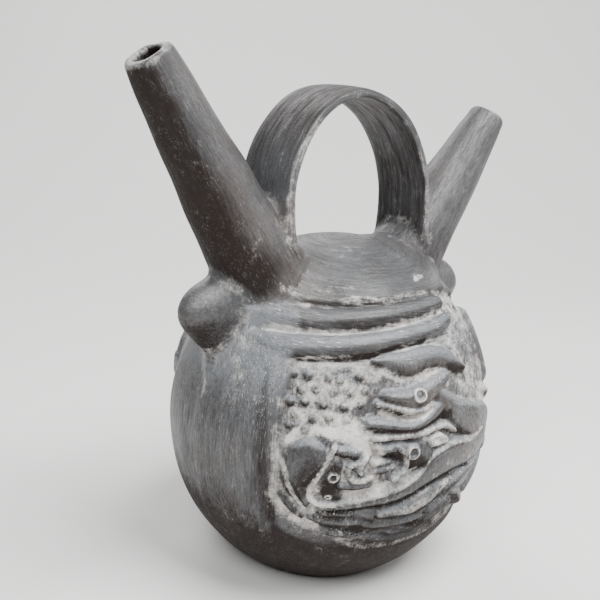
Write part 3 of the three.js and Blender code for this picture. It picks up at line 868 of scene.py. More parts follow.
    def stained(self, points: np.ndarray, angle: np.ndarray, level: np.ndarray) -> tuple[np.ndarray, ...]:
        """Dust and painted shadow laid along strokes, and tint of the forms, eyes and pellets.

        A stroke is full over the inner part of its half width and fades out beyond it. An eye's rim is
        pale. A pellet's top is darker than the ground, and a painted shade ring darkens its rim.

        Args:
            points: Points on the smooth body, shape (n, 3).
            angle: Their angles in degrees from the panel's middle.
            level: Their heights.

        Returns:
            Dust and painted shadow from 0 to 1, and tints from -1 (dark) to 1 (pale), each of shape (n,).
        """
        forms, tint = self.forms(points)
        dust = np.zeros(len(points))
        dark = np.zeros(len(points))
        for stroke in self.strokes:
            found, gap, width = self.along(points, stroke.knots, 3.0)
            laid = stroke.strength * (1.0 - eased(gap / width, 0.45, 1.3))
            dust[found] = np.maximum(dust[found], laid)
            dark[found] = np.maximum(dark[found], -laid)
        for ring in self.rings:
            gap = self.from_eye(points, ring)
            rim = faded(np.abs(gap - ring.radius), 1.1 * ring.tube)
            tint = np.where(gap < ring.radius + 1.3 * ring.tube, rim, tint)
        _, share = self.dotted(points)
        # painted shade: a dark ring where each pellet meets the ground
        rim = faded(np.abs(share - 0.95), 0.3)
        top = 1.0 - eased(share, 0.75, 0.3)
        tint = tint - (0.30 * rim + 0.34 * top) * faded(forms, 0.5)
        return dust, dark, tint * self.sunk(angle, level)

    def lift(self, points: np.ndarray, angle: np.ndarray, level: np.ndarray) -> np.ndarray:
        """Height of the panel's surface over the smooth body.

        The ground waves, carries the pellets and pits, and is combed upright on its right. The forms
        stand over it, and the whole is sunk by the ground's depth.

        Args:
            points: Points on the smooth body, shape (n, 3).
            angle: Their angles in degrees from the panel's middle.
            level: Their heights.

        Returns:
            Heights, shape (n,): below zero on the ground.
        """
        forms, _ = self.forms(points)
        dots, _ = self.dotted(points)
        combed = eased(angle, 4.0, 4.0) * eased(level, 86.0, 6.0)
        teeth = np.sin(np.radians(angle) * self.body.half_width * 2.9 + waves(points, 24.0, 33))
        rough = 0.16 * waves(points, 7.0, 31) + 0.07 * waves(points, 3.2, 35)
        ground = (dots + 0.36 * combed * teeth) * faded(forms, 0.5) + rough
        over = np.maximum(forms, ground) - self.ground_depth
        return self.sunk(angle, level) * over + self.details(points)


@dataclass(frozen=True)
class Spout:
    """A slanted spout: a tapered tube that flares onto the body, with a rounded lip."""

    root: tuple[float, float]
    tip: tuple[float, float]
    root_radius: float
    seed: int
    mouth_radius: float = 9.4
    bore_mouth: float = 5.5
    wall: float = 4.6
    lip: float = 1.7
    flare: float = 2.6
    flare_reach: float = 13.0
    mound: float = 3.8
    mound_reach: float = 13.0
    flare_length: float = 46.0
    bore_start: float = 1.0
    bore_end: float = 2.0
    around: int = 52
    bore_around: int = 36

    @property
    def start(self) -> np.ndarray:
        """Middle of the root, inside the body."""
        return np.array([self.root[0], 0.0, self.root[1]])

    @property
    def length(self) -> float:
        """Length from root to mouth."""
        return math.dist(self.root, self.tip)

    @property
    def axis(self) -> np.ndarray:
        """Unit vector from root to mouth."""
        return (np.array([self.tip[0], 0.0, self.tip[1]]) - self.start) / self.length

    def radius_at(self, station: np.ndarray) -> np.ndarray:
        """Outer radius at distances from the root: a straight taper."""
        share = np.clip(station / self.length, 0.0, 1.0)
        return self.root_radius + (self.mouth_radius - self.root_radius) * share

    def frame_of(self, points: np.ndarray) -> tuple[np.ndarray, np.ndarray, np.ndarray]:
        """Station along the axis, and the two coordinates across it, of each point."""
        out = points - self.start
        side = np.cross(self.axis, [0.0, 1.0, 0.0])
        return out @ self.axis, out @ side, out[:, 1]

    def place(self, station: np.ndarray, radius: np.ndarray, turn: np.ndarray) -> np.ndarray:
        """Points at stations, radii and turns about the axis."""
        side = np.cross(self.axis, [0.0, 1.0, 0.0])
        across = np.cos(turn)[..., None] * side + np.sin(turn)[..., None] * np.array([0.0, 1.0, 0.0])
        return self.start + station[..., None] * self.axis + radius[..., None] * across

    def at(self, station: float) -> np.ndarray:
        """The point on the axis at a station."""
        return self.start + station * self.axis

    def skin(self, body: RoundBody) -> bpy.types.Object:
        """The outer shape, closed at both ends.

        The radius is the taper, plus a flare that grows with the square of the nearness to the body,
        plus gentle waves and, near the mouth, small lumps; the lip is a quarter circle.

        Args:
            body: The smooth body that the spout stands on.

        Returns:
            The new object.
        """
        wall = np.concatenate([
            np.linspace(0.0, self.flare_length, 28, endpoint=False),
            np.linspace(self.flare_length, self.length - self.lip, 30),
        ])
        bend = np.linspace(0.15, 0.5, 5) * math.pi
        lip_station = self.length - self.lip + self.lip * np.sin(bend)
        station = np.concatenate([wall, lip_station])[:, None]
        inset = np.concatenate([np.zeros(len(wall)), self.lip * (1.0 - np.cos(bend))])[:, None]
        station, turn = np.broadcast_arrays(station, full_turn(self.around)[None, :])
        radius = self.radius_at(station) - inset
        plain = self.place(station, radius, turn).reshape(-1, 3)
        close = nearness(body.lift(plain), self.flare_reach).reshape(station.shape)
        uneven = waves(plain, 30.0, self.seed).reshape(station.shape)
        lumps = waves(plain, 11.0, self.seed + 1).reshape(station.shape) - 1.0
        lip = eased(station, self.length - 14.0, 12.0)
        radius = radius + self.flare * close ** 2 + 0.28 * uneven + 0.22 * lumps * lip
        rings = self.place(station + 0.35 * lumps * lip, radius, turn)
        return closed_mesh("spout skin", rings[:, ::-1], self.start, self.at(self.length))

    def bore(self) -> bpy.types.Object:
        """The bore to take out: it widens down from the mouth, and opens at the lip in a round."""
        bend = np.linspace(0.0, 0.5, 5) * math.pi
        open_station = self.length - self.lip + self.lip * np.sin(bend)
        open_radius = self.bore_mouth + 1.1 * self.lip * (1.0 - np.cos(bend))
        straight = np.linspace(-self.bore_start, self.length - self.lip - 1.0, 26)
        share = np.clip(straight / (self.length - self.lip), 0.0, 1.0)
        inner = self.root_radius - self.wall
        taper = inner + (self.bore_mouth - inner) * share
        end = self.length + self.bore_end
        station = np.concatenate([straight, open_station, [end]])[:, None]
        radius = np.concatenate([taper, open_radius, open_radius[-1:]])[:, None]
        station, radius, turn = np.broadcast_arrays(station, radius, full_turn(self.bore_around)[None, :])
        rings = self.place(station, radius, turn)
        return closed_mesh("bore", rings[:, ::-1], self.at(-self.bore_start), self.at(end))

    def gap(self, points: np.ndarray) -> np.ndarray:
        """Distance of points from the spout's outer wall."""
        station, side, deep = self.frame_of(points)
        beyond = np.maximum(np.maximum(-station, station - self.length), 0.0)
        return np.hypot(np.hypot(side, deep) - self.radius_at(station), beyond)


@dataclass(frozen=True)
class Strap:
    """The handle: a flat strap on an arch with straight legs, leaning a little."""

    width: float = 30.0
    thickness: float = 5.0
    half_span: float = 42.7
    spring: float = 166.7
    rise: float = 44.6
    power: float = 1.87
    lean: float = -5.1
    pivot: float = 150.0
    foot: float = 127.0
    section_power: float = 5.0
    leg_steps: int = 22

    def path(self, steps: int) -> np.ndarray:
        """Middle line in the XZ plane, leg foot to leg foot, as (x, z).

        The arch is a superellipse: across and up are the cosine and sine of the turn, each raised to
        2 over the power. The whole line is spaced evenly, and leans about the pivot.

        Args:
            steps: Number of points on the arch.

        Returns:
            Points, shape (2 steps, 2).
        """
        turn = np.linspace(0.0, math.pi, steps)
        bend = 2.0 / self.power
        across = -self.half_span * np.sign(np.cos(turn)) * np.abs(np.cos(turn)) ** bend
        up = self.spring + self.rise * np.sin(turn).clip(0.0) ** bend
        legs = np.linspace(self.foot, self.spring, self.leg_steps, endpoint=False)
        leg_x = np.full(self.leg_steps, self.half_span)
        x = np.concatenate([-leg_x, across, leg_x])
        z = np.concatenate([legs, up, legs[::-1]]) - self.pivot
        step = np.concatenate([[0.0], np.cumsum(np.hypot(np.diff(x), np.diff(z)))])
        even = np.linspace(0.0, step[-1], 2 * steps)
        x, z = np.interp(even, step, x), np.interp(even, step, z)
        lean = math.radians(self.lean)
        return np.stack([x + z * math.sin(lean), self.pivot + z * math.cos(lean)], axis=1)

    def skin(self, spouts: tuple[Spout, ...], body: RoundBody) -> bpy.types.Object:
        """The strap, closed at both ends.

        The section is a superellipse of power 5, carried square to the path; it swells with the
        square of the nearness to a spout or the dome, and waves a little.

        Args:
            spouts: The spouts that the legs join.
            body: The smooth body.

        Returns:
            The new object.
        """
        path = self.path(60)
        along = np.gradient(path, axis=0)
        along /= np.linalg.norm(along, axis=1, keepdims=True)
        turn = full_turn(44)
        bend = 2.0 / self.section_power
        wide = np.sign(np.cos(turn)) * np.abs(np.cos(turn)) ** bend
        thick = np.sign(np.sin(turn)) * np.abs(np.sin(turn)) ** bend

        def rings(half_wide: np.ndarray | float, half_thick: np.ndarray | float) -> np.ndarray:
            """Section points for half widths and half thicknesses, shape (stations, around, 3)."""
            off = half_thick * thick[None, :]
            x = path[:, :1] - along[:, 1:] * off
            z = path[:, 1:] + along[:, :1] * off
            return np.stack([x, half_wide * wide[None, :] + 0.0 * x, z], axis=-1)

        shape = (len(path), len(turn))
        plain = rings(self.width / 2, self.thickness / 2).reshape(-1, 3)
        gap = np.minimum(np.minimum(*[spout.gap(plain) for spout in spouts]), np.abs(body.lift(plain)))
        swell = 1.7 * nearness(gap, 7.0).reshape(shape) ** 2.0
        uneven = waves(plain, 26.0, 71).reshape(shape)
        half_wide = self.width / 2 + swell * 0.8 + 0.35 * uneven
        skin = rings(half_wide, self.thickness / 2 + swell + 0.22 * uneven)
        first, last = (np.array([path[i, 0], 0.0, path[i, 1]]) for i in (0, -1))
        return closed_mesh("strap skin", skin, first, last)

    @property
    def centre(self) -> np.ndarray:
        """The middle of the arch, which the strap's inner side faces."""
        return np.array([0.0, 0.0, self.spring])

    def frame_of(self, points: np.ndarray) -> tuple[np.ndarray, np.ndarray]:
        """Distance from the middle line and place along it in millimetres, in the XZ plane."""
        path = self.path(40)
        line = np.stack([path[:, 0], np.zeros(len(path)), path[:, 1]], axis=1)
        flat = points * np.array([1.0, 0.0, 1.0])
        gap, place = nearest_on_line(flat, line)
        step = np.linalg.norm(line[1] - line[0])
        return gap, place * step

    def gap(self, points: np.ndarray) -> np.ndarray:
        """Distance of points from the strap's surface, as a box round the middle line."""
        gap, _ = self.frame_of(points)
        off = np.abs(gap) - self.thickness / 2
        deep = np.abs(points[:, 1]) - self.width / 2
        outside = np.hypot(np.maximum(off, 0.0), np.maximum(deep, 0.0))
        return np.abs(outside + np.minimum(np.maximum(off, deep), 0.0))


@dataclass(frozen=True)
class Lug:
    """A lug on the body below a spout: a round knob above, drawn in below to a stem."""

    centre_x: float
    height: float
    seed: int
    half_length: float = 18.6
    half_width: float = 11.0
    rise: float = 13.6
    drop: float = 22.0
    taper: float = 1.6
    mound: float = 4.0
    mound_reach: float = 12.0

    def share(self, points: np.ndarray) -> np.ndarray:
        """Distance from the lug's middle as a share of its surface's."""
        out = (points - [self.centre_x, 0.0, self.height]) / [self.half_length, self.half_width, 1.0]
        ring = np.hypot(out[:, 0], out[:, 1])
        below = ring + np.maximum(-out[:, 2] / self.drop, 0.0) ** self.taper
        return np.where(out[:, 2] < 0.0, below, np.hypot(ring, out[:, 2] / self.rise))

    def gap(self, points: np.ndarray) -> np.ndarray:
        """Distance of points from the lug's surface, nearly."""
        return np.abs(self.share(points) - 1.0) * self.half_width

    def skin(self, body: RoundBody, spout: Spout) -> bpy.types.Object:
        """Half an ellipsoid above, and below it a ring that falls with a power of the depth.

        Gentle waves run over it, and it swells where it meets the body and the spout.

        Args:
            body: The smooth body that carries it.
            spout: The spout above it.

        Returns:
            The new object.
        """
        turn = full_turn(36)[None, :]
        tilt = np.linspace(-0.5, 0.5, 26)[1:-1, None] * math.pi
        depth = np.maximum(-np.sin(tilt), 0.0)
        ring = np.where(tilt < 0.0, 1.0 - depth ** self.taper, np.cos(tilt))
        unit = np.stack([ring * np.cos(turn), ring * np.sin(turn), np.sin(tilt) + 0.0 * turn], axis=-1)
        upright = np.where(tilt < 0.0, self.drop, self.rise)
        wide = np.stack([self.half_length + 0.0 * upright, self.half_width + 0.0 * upright, upright], axis=-1)
        middle = np.array([self.centre_x, 0.0, self.height])
        plain = (unit * wide + middle).reshape(-1, 3)
        gap = np.minimum(np.abs(body.lift(plain)), np.abs(spout.gap(plain)))
        grow = 0.5 * waves(plain, 17.0, self.seed) + 2.0 * nearness(gap, 8.0) ** 2 - 0.4
        grown = unit * (wide + grow.reshape(unit.shape[:2])[..., None]) + middle
        low = middle - [0.0, 0.0, self.drop]
        return closed_mesh("lug skin", grown, low, middle + [0.0, 0.0, self.rise])


@dataclass(frozen=True)
class Clay:
    """The burnished clay: colours, among them a painted highlight grey and a painted shade brown, sheen and
    the sizes of its marks.
    """

    slot: str = "clay"
    burnished: tuple[float, float, float] = (0.092, 0.096, 0.101)
    smoked: tuple[float, float, float] = (0.026, 0.025, 0.026)
    # painted shade: the dark brown laid on undersides, low down and under the relief
    painted_shade_brown: tuple[float, float, float] = (0.020, 0.014, 0.012)
    earthy: tuple[float, float, float] = (0.066, 0.050, 0.043)
    # painted highlight: the pale grey sheen laid on up-facing and upper surfaces
    painted_sheen_grey: tuple[float, float, float] = (0.190, 0.205, 0.220)
    dust: tuple[float, float, float] = (0.75, 0.715, 0.67)
    roughness_low: float = 0.30
    roughness_high: float = 0.50
    dust_roughness: float = 0.88


class Step(Enum):
    """One step of arithmetic on shader values."""

    ADD = "ADD"
    SUBTRACT = "SUBTRACT"
    MULTIPLY = "MULTIPLY"
    MAXIMUM = "MAXIMUM"


class Part(IntEnum):
    """The bottle's parts, in the order of the distances that Bottle.gaps gives."""

    BODY = 0
    NEAR_SPOUT = 1
    FAR_SPOUT = 2
    STRAP = 3
    NEAR_LUG = 4
    FAR_LUG = 5


class NodeSheet:
    """Adds shader nodes to a material and joins them."""

    def __init__(self, name: str) -> None:
        """Start an empty material that uses nodes."""
        self.material = bpy.data.materials.new(name)
        self.material.use_nodes = True
        self.tree = self.material.node_tree
        self.tree.nodes.clear()

    def add(self, kind: str, **values: object) -> bpy.types.Node:
        """Add a node and set its properties, or its inputs where the name is an input's.

        Args:
            kind: Node type.
            values: Property or input values, or sockets to join.

        Returns:
            The node.
        """
        node = self.tree.nodes.new(kind)
        for key, value in values.items():
            if hasattr(node, key) and not isinstance(value, bpy.types.NodeSocket):
                setattr(node, key, value)
                continue
            self.put(node.inputs[key.replace("_", " ")], value)
        return node

    def put(self, socket: bpy.types.NodeSocket, value: object) -> None:
        """Join a socket to an input, or set the input's own value."""
        if isinstance(value, bpy.types.NodeSocket):
            self.tree.links.new(value, socket)
        else:
            socket.default_value = value

    def attribute(self, name: str, vector: bool = False) -> bpy.types.NodeSocket:
        """Read one of the mesh's point values."""
        node = self.add("ShaderNodeAttribute", attribute_name=name, attribute_type="GEOMETRY")
        return node.outputs["Vector" if vector else "Fac"]

    def noise(self, vector: bpy.types.NodeSocket, scale: float, detail: float = 3.0,
              roughness: float = 0.55) -> bpy.types.NodeSocket:
        """Cloudy noise over a vector."""
        node = self.add("ShaderNodeTexNoise", Scale=scale, Detail=detail, Roughness=roughness)
        self.put(node.inputs["Vector"], vector)
        return node.outputs["Fac"]

    def reckon(self, step: Step, first: object, second: object) -> bpy.types.NodeSocket:
        """One step of arithmetic."""
        node = self.add("ShaderNodeMath", operation=step.value)
        self.put(node.inputs[0], first)
        self.put(node.inputs[1], second)
        return node.outputs[0]

    def times(self, first: object, *others: object) -> bpy.types.NodeSocket:
        """The product of values."""
        return reduce(lambda done, other: self.reckon(Step.MULTIPLY, done, other), others, first)

    def plus(self, first: object, *others: object) -> bpy.types.NodeSocket:
        """The sum of values."""
        return reduce(lambda done, other: self.reckon(Step.ADD, done, other), others, first)

    def most(self, first: object, *others: object) -> bpy.types.NodeSocket:
        """The largest of values."""
        return reduce(lambda done, other: self.reckon(Step.MAXIMUM, done, other), others, first)

    def swing(self, value: bpy.types.NodeSocket, gain: float) -> bpy.types.NodeSocket:
        """How far a value lies from a half, times a gain."""
        return self.times(self.reckon(Step.SUBTRACT, value, 0.5), gain)

    def ramp(self, value: bpy.types.NodeSocket, low: float, high: float, start: float = 0.0,
             end: float = 1.0) -> bpy.types.NodeSocket:
        """Ease a value from start to end between low and high."""
        node = self.add("ShaderNodeMapRange", interpolation_type="SMOOTHSTEP")
        for key, part in (("Value", value), ("From Min", low), ("From Max", high),
                          ("To Min", start), ("To Max", end)):
            self.put(node.inputs[key], part)
        return node.outputs["Result"]

    def mix(self, share: object, first: object, colour: tuple[float, float, float]) -> bpy.types.NodeSocket:
        """Lay a colour over a colour or a socket, by a share."""
        node = self.add("ShaderNodeMix", data_type="RGBA")
        self.put(node.inputs["Factor"], share)
        self.put(node.inputs[6], first)
        self.put(node.inputs[7], (*colour, 1.0))
        return node.outputs[2]

    def blend(self, share: object, first: object, second: object) -> bpy.types.NodeSocket:
        """Mix two values."""
        node = self.add("ShaderNodeMix", data_type="FLOAT")
        self.put(node.inputs["Factor"], share)
        self.put(node.inputs[2], first)
        self.put(node.inputs[3], second)
        return node.outputs[0]

    def finish(self, shader: bpy.types.Node) -> bpy.types.Material:
        """Join a shader to the output, and give the material back."""
        output = self.add("ShaderNodeOutputMaterial")
        self.put(output.inputs["Surface"], shader.outputs["BSDF"])
        return self.material


def clay_material(clay: Clay) -> bpy.types.Material:
    """The clay's shader.

    Streaks follow the mesh's own "grain" places, which are squeezed along the burnishing. One point value
    lays a painted highlight of pale grey, another a painted shade of dark brown. Dust fills what "dust"
    marks, broken up by noise, and chips, scratches and flecks add to it. What is painted dark or dusty is
    duller.

    Args:
        clay: Colours and sheen.

    Returns:
        The material.
    """
    sheet = NodeSheet("burnished clay")
    place = sheet.add("ShaderNodeTexCoord").outputs["Object"]
    grain = sheet.attribute("grain", vector=True)
    painted_sheen = sheet.attribute("painted_sheen")

    broad = sheet.noise(grain, 0.20, 5.0, 0.62)
    fine = sheet.noise(grain, 1.1, 4.0, 0.62)
    hair = sheet.noise(grain, 3.4)
    cloud = sheet.noise(place, 34.0, 5.0, 0.6)
    caked = sheet.noise(place, 230.0, 5.0, 0.62)
    grit = sheet.noise(place, 1300.0, 2.0, 0.6)
    streak = sheet.blend(0.24, sheet.blend(0.40, fine, broad), hair)
    uneven = sheet.swing(streak, -1.3)

    shade = sheet.ramp(sheet.blend(0.36, streak, cloud), 0.37, 0.63)
    colour = sheet.mix(shade, (*clay.smoked, 1.0), clay.burnished)
    patch = sheet.ramp(sheet.noise(place, 21.0, 4.0, 0.65), 0.48, 0.66, 0.0, 0.55)
    colour = sheet.mix(patch, colour, clay.earthy)
    # painted highlight: pale grey sheen laid on up-facing and upper surfaces
    painted_sheen_share = sheet.ramp(sheet.plus(sheet.times(uneven, -0.5), painted_sheen), 0.15, 1.1, 0.0, 0.8)
    colour = sheet.mix(painted_sheen_share, colour, clay.painted_sheen_grey)
    # painted shade: dark brown laid on undersides, low down, under the relief and in the shadow strokes
    dark = sheet.ramp(sheet.plus(sheet.attribute("painted_shade"), uneven), 0.1, 1.0, 0.0, 0.9)
    colour = sheet.mix(dark, colour, clay.painted_shade_brown)
    pitted = sheet.ramp(sheet.noise(place, 900.0, 4.0, 0.7), 0.35, 0.45, 0.65, 0.0)
    colour = sheet.mix(pitted, colour, clay.smoked)
    worn = sheet.ramp(sheet.noise(grain, 1.9, 4.0, 0.6), 0.33, 0.45, 0.62, 0.0)
    colour = sheet.mix(worn, colour, clay.smoked)

    speck = sheet.noise(place, 950.0, 4.0, 0.65)
    broken = sheet.blend(0.24, sheet.blend(0.34, caked, cloud), speck)
    marked = sheet.times(sheet.attribute("dust"), 0.92)
    laid = sheet.plus(marked, sheet.swing(broken, 2.8), sheet.swing(streak, 1.6))
    dust = sheet.ramp(laid, 0.20, 1.12, 0.0, 0.94)
    held = sheet.ramp(caked, 0.42, 0.60)
    # scratches show more where the painted highlight is laid
    painted_sheen_weight = sheet.ramp(painted_sheen, 0.0, 0.6, 0.6, 1.6)
    scratch = sheet.times(sheet.ramp(hair, 0.60, 0.72, 0.0, 0.28), held, painted_sheen_weight)
    fleck = sheet.times(sheet.ramp(sheet.noise(place, 1900.0, 2.0, 0.5), 0.58, 0.70, 0.0, 0.10), held)
    chipped = sheet.ramp(sheet.noise(grain, 2.2, 2.0, 0.5), 0.625, 0.675, 0.0, 0.62)
    chip = sheet.times(chipped, sheet.ramp(painted_sheen, 0.1, 0.6), sheet.ramp(cloud, 0.42, 0.56))
    pale = sheet.most(dust, chip, scratch, fleck)
    colour = sheet.mix(pale, colour, clay.dust)

    sheen = sheet.ramp(streak, 0.35, 0.65, clay.roughness_high, clay.roughness_low)
    matt = sheet.plus(sheen, sheet.times(dark, 0.22))
    rough = sheet.blend(pale, matt, clay.dust_roughness)
    relief = sheet.plus(sheet.blend(0.3, streak, grit), sheet.times(grit, 0.5, dust))
    bump = sheet.add("ShaderNodeBump", Strength=0.8, Distance=0.0007)
    sheet.put(bump.inputs["Height"], relief)
    clean = sheet.ramp(pale, 0.0, 0.6, 0.58, 0.12)
    gloss = sheet.times(sheet.reckon(Step.SUBTRACT, 1.0, dark), clean)

    shader = sheet.add("ShaderNodeBsdfPrincipled", Metallic=0.0, IOR=1.5)
    sheet.put(shader.inputs["Specular IOR Level"], gloss)
    sheet.put(shader.inputs["Base Color"], colour)
    sheet.put(shader.inputs["Roughness"], rough)
    sheet.put(shader.inputs["Normal"], bump.outputs["Normal"])
    return sheet.finish(shader)


@dataclass(frozen=True)
class Skin:
    """What is known of every vertex when the clay is marked."""

    points: np.ndarray
    normals: np.ndarray
    gaps: np.ndarray
    angle: np.ndarray
    height: np.ndarray
    turned: np.ndarray
    inward: np.ndarray
    patches: np.ndarray
    laid: np.ndarray
    painted_shadow: np.ndarray
    tint: np.ndarray
    turned_up: np.ndarray

    @property
    def part(self) -> np.ndarray:
        """The part that each vertex belongs to, the nearest one."""
        return self.gaps.argmin(axis=0)

    @property
    def on_body(self) -> np.ndarray:
        """Which vertices belong to the body."""
        return self.part == Part.BODY

    @property
    def facing(self) -> np.ndarray:
        """How far each vertex faces up, from -1 to 1."""
        return self.normals[:, 2]


@dataclass
class Bottle:
    """The whole bottle, one piece of fired clay."""

    body: RoundBody = field(default_factory=RoundBody)
    near: Spout = Spout((-34.4, 118.8), (-103.7, 220.7), 21.2, 41)
    far: Spout = Spout((32.8, 119.4), (103.1, 202.5), 20.0, 43)
    strap: Strap = Strap()
    lugs: tuple[Lug, ...] = (Lug(-68.0, 123.5, 51), Lug(68.0, 118.5, 53))
    clay: Clay = Clay()
    panel_margin: float = 67.0
    front_step: float = 0.67
    back_step: float = 2.1
    side_step: float = 2.4
    row_step: float = 0.75
    plain_row_step: float = 1.8
    relief_bottom: float = 24.0
    relief_top: float = 137.0
    crown_gap: float = 0.02
    foot_edge: float = 0.35

    @property
    def spouts(self) -> tuple[Spout, Spout]:
        """The near and the far spout."""
        return self.near, self.far

    def panels(self) -> tuple[Panel, ...]:
        """The front and back panels."""
        return (
            Panel(self.body, 0.0, FRONT_RIDGES, FRONT_LINES, FRONT_RINGS, FRONT_DOTS, FRONT_DUST_AND_SHADOW),
            Panel(self.body, 180.0, BACK_RIDGES, BACK_LINES, BACK_RINGS, BACK_DOTS, BACK_DUST),
        )

    def lift(self, base: np.ndarray, angle: np.ndarray, height: np.ndarray) -> np.ndarray:
        """Height of the skin over the smooth body.

        The panels, a mound under each spout and lug, the mould seam below each lug, and gentle waves.

        Args:
            base: Points on the smooth body, shape (n, 3).
            angle: Their angles from -Y, -180 to 180.
            height: Their heights.

        Returns:
            Heights, shape (n,).
        """
        total = np.zeros(len(base))
        for panel in self.panels():
            turned = (angle - panel.middle + 180.0) % 360.0 - 180.0
            mine = np.flatnonzero(np.abs(turned) < 95.0)
            total[mine] += panel.lift(base[mine], turned[mine], height[mine])
        for part in (*self.spouts, *self.lugs):
            total += part.mound * nearness(part.gap(base), part.mound_reach) ** 2
        seam = np.abs(np.abs(angle) - 90.0) * math.radians(self.body.half_width)
        held = eased(height, 22.0, 14.0) * eased(height, 124.0, -8.0)
        stem = eased(height, 92.0, 20.0)
        total += (0.55 + 2.2 * stem) * held * faded(seam, 3.2 + 4.5 * stem)
        return total + 0.22 * waves(base, 38.0, 61)

    def columns(self) -> np.ndarray:
        """Angles of the body grid: close on the front panel, wider on the back, widest on the sides."""
        per_degree = math.radians(self.body.half_width)
        edge = self.panel_margin
        spans = (
            (-edge, edge, self.front_step),
            (edge, 180.0 - edge, self.side_step),
            (180.0 - edge, 180.0 + edge, self.back_step),
            (180.0 + edge, 360.0 - edge, self.side_step),
        )
        parts = [
            np.linspace(low, high, round((high - low) * per_degree / step), endpoint=False)
            for low, high, step in spans
        ]
        angles = np.concatenate(parts)
        return np.where(angles > 180.0, angles - 360.0, angles)

    def rows(self) -> np.ndarray:
        """Heights of the body grid, even by arc and close together where the panels are."""
        body = self.body
        low = -math.asin(body.equator / body.lower_rise)
        panel_low = -math.asin((body.equator - self.relief_bottom) / body.lower_rise)
        panel_high = math.asin((self.relief_top - body.equator) / body.dome_rise)
        crown = math.pi / 2 - self.crown_gap
        spans = (
            (low, panel_low, self.plain_row_step),
            (panel_low, panel_high, self.row_step),
            (panel_high, crown, self.plain_row_step),
        )
        parts = [
            np.linspace(start, end, max(2, round((end - start) * body.dome_rise / step)), endpoint=False)
            for start, end, step in spans
        ]
        tilt = np.concatenate(parts + [[crown]])
        return body.equator + np.where(tilt < 0.0, body.lower_rise, body.dome_rise) * np.sin(tilt)

    def body_skin(self) -> bpy.types.Object:
        """The body's outer surface with its relief, on a grid of angles and heights, closed by the foot.

        The lowest row draws in a little to the foot's edge, which then runs flat to the middle.
        """
        angle, height = np.meshgrid(self.columns(), self.rows())
        base = self.body.point(angle, height).reshape(-1, 3)
        points = self.body.raised(base, self.lift(base, angle.ravel(), height.ravel()))
        rings = points.reshape(*angle.shape, 3)
        rings[0, :, 2] = self.foot_edge
        rings[:, :, 2] = np.maximum(rings[:, :, 2], 0.0)
        foot = rings[0] * [0.985, 0.985, 0.0]
        inner = foot * [0.9, 0.9, 0.0]
        rings = np.concatenate([inner[None], foot[None], rings])
        crown = np.array([0.0, 0.0, rings[-1, :, 2].mean() + 0.02])
        return closed_mesh("body skin", rings, np.zeros(3), crown)

    def hollow(self) -> bpy.types.Object:
        """The hollow to take out: the smooth body one wall smaller, with a flat floor."""
        body = self.body
        turn = full_turn(48)[None, :]
        tilt = np.linspace(-0.5, 0.5, 30)[1:-1, None] * math.pi
        rise = np.where(tilt < 0.0, body.lower_rise, body.dome_rise) - body.wall
        x = (body.half_width - body.wall) * np.cos(tilt) * np.sin(turn)
        y = -(body.half_depth - body.wall) * np.cos(tilt) * np.cos(turn)
        z = body.equator + rise * np.sin(tilt) + 0.0 * turn
        rings = np.stack([x, y, np.maximum(z, body.floor)], axis=-1)
        kept = rings[z[:, 0] > body.floor - 3.5]
        low = np.array([0.0, 0.0, body.floor])
        return closed_mesh("hollow", kept, low, np.array([0.0, 0.0, body.top - body.wall]))

    def joined(self) -> bpy.types.Object:
        """All solids joined, then the hollow and the bores taken out."""
        target = self.body_skin()
        added = [spout.skin(self.body) for spout in self.spouts]
        added.append(self.strap.skin(self.spouts, self.body))
        added += [lug.skin(self.body, spout) for lug, spout in zip(self.lugs, self.spouts)]
        removed = [self.hollow(), *[spout.bore() for spout in self.spouts]]
        for operation, tools in (("UNION", added), ("DIFFERENCE", removed)):
            for tool in tools:
                step = target.modifiers.new(tool.name, "BOOLEAN")
                step.operation = operation
                step.solver = "MANIFOLD"
                step.object = tool
        depsgraph = bpy.context.evaluated_depsgraph_get()
        mesh = bpy.data.meshes.new_from_object(target.evaluated_get(depsgraph))
        for spare in [target, *added, *removed]:
            bpy.data.objects.remove(spare, do_unlink=True)
        mesh.name = "bottle_clay"
        bottle = bpy.data.objects.new("bottle_clay", mesh)
        bpy.context.scene.collection.objects.link(bottle)
        return bottle

    def gaps(self, points: np.ndarray) -> np.ndarray:
        """Distances of points from the outer surfaces, one row for each Part in order.

        Args:
            points: Places, shape (n, 3).

        Returns:
            Distances, shape (6, n).
        """
        angle, height = self.body.foot_point(points)
        base = self.body.point(angle, height)
        skin = np.abs(self.body.lift(points) - self.lift(base, angle, height))
        return np.stack([skin, *[part.gap(points) for part in (*self.spouts, self.strap, *self.lugs)]])

    def soften_joints(self, mesh: bpy.types.Mesh, turns: int = 20) -> None:
        """Round the clay where two parts meet: neighbours' means, weighted by nearness to both parts.

        Args:
            mesh: The joined mesh, changed in place.
            turns: How many times the means are taken.
        """
        points = mesh_points(mesh)
        count = len(points)
        gaps = self.gaps(points)
        second = np.sort(gaps, axis=0)[1]
        outside = self.body.lift(points, self.body.wall) > 2.0
        by_lug = faded(gaps[Part.NEAR_LUG:].min(axis=0), 9.0)
        weight = faded(second, 4.5 + 5.0 * by_lug) * outside
        edges = np.empty(len(mesh.edges) * 2, np.int64)
        mesh.edges.foreach_get("vertices", edges)
        first, last = edges.reshape(-1, 2).T
        degree = np.bincount(first, minlength=count) + np.bincount(last, minlength=count)
        for _ in range(turns):
            total = np.stack([
                np.bincount(first, points[last, i], count) + np.bincount(last, points[first, i], count)
                for i in range(3)
            ], axis=1)
            mean = total / np.maximum(degree, 1)[:, None]
            points = points + 0.6 * weight[:, None] * (mean - points)
        mesh.vertices.foreach_set("co", (points * METRES_PER_MM).ravel())
        mesh.update()

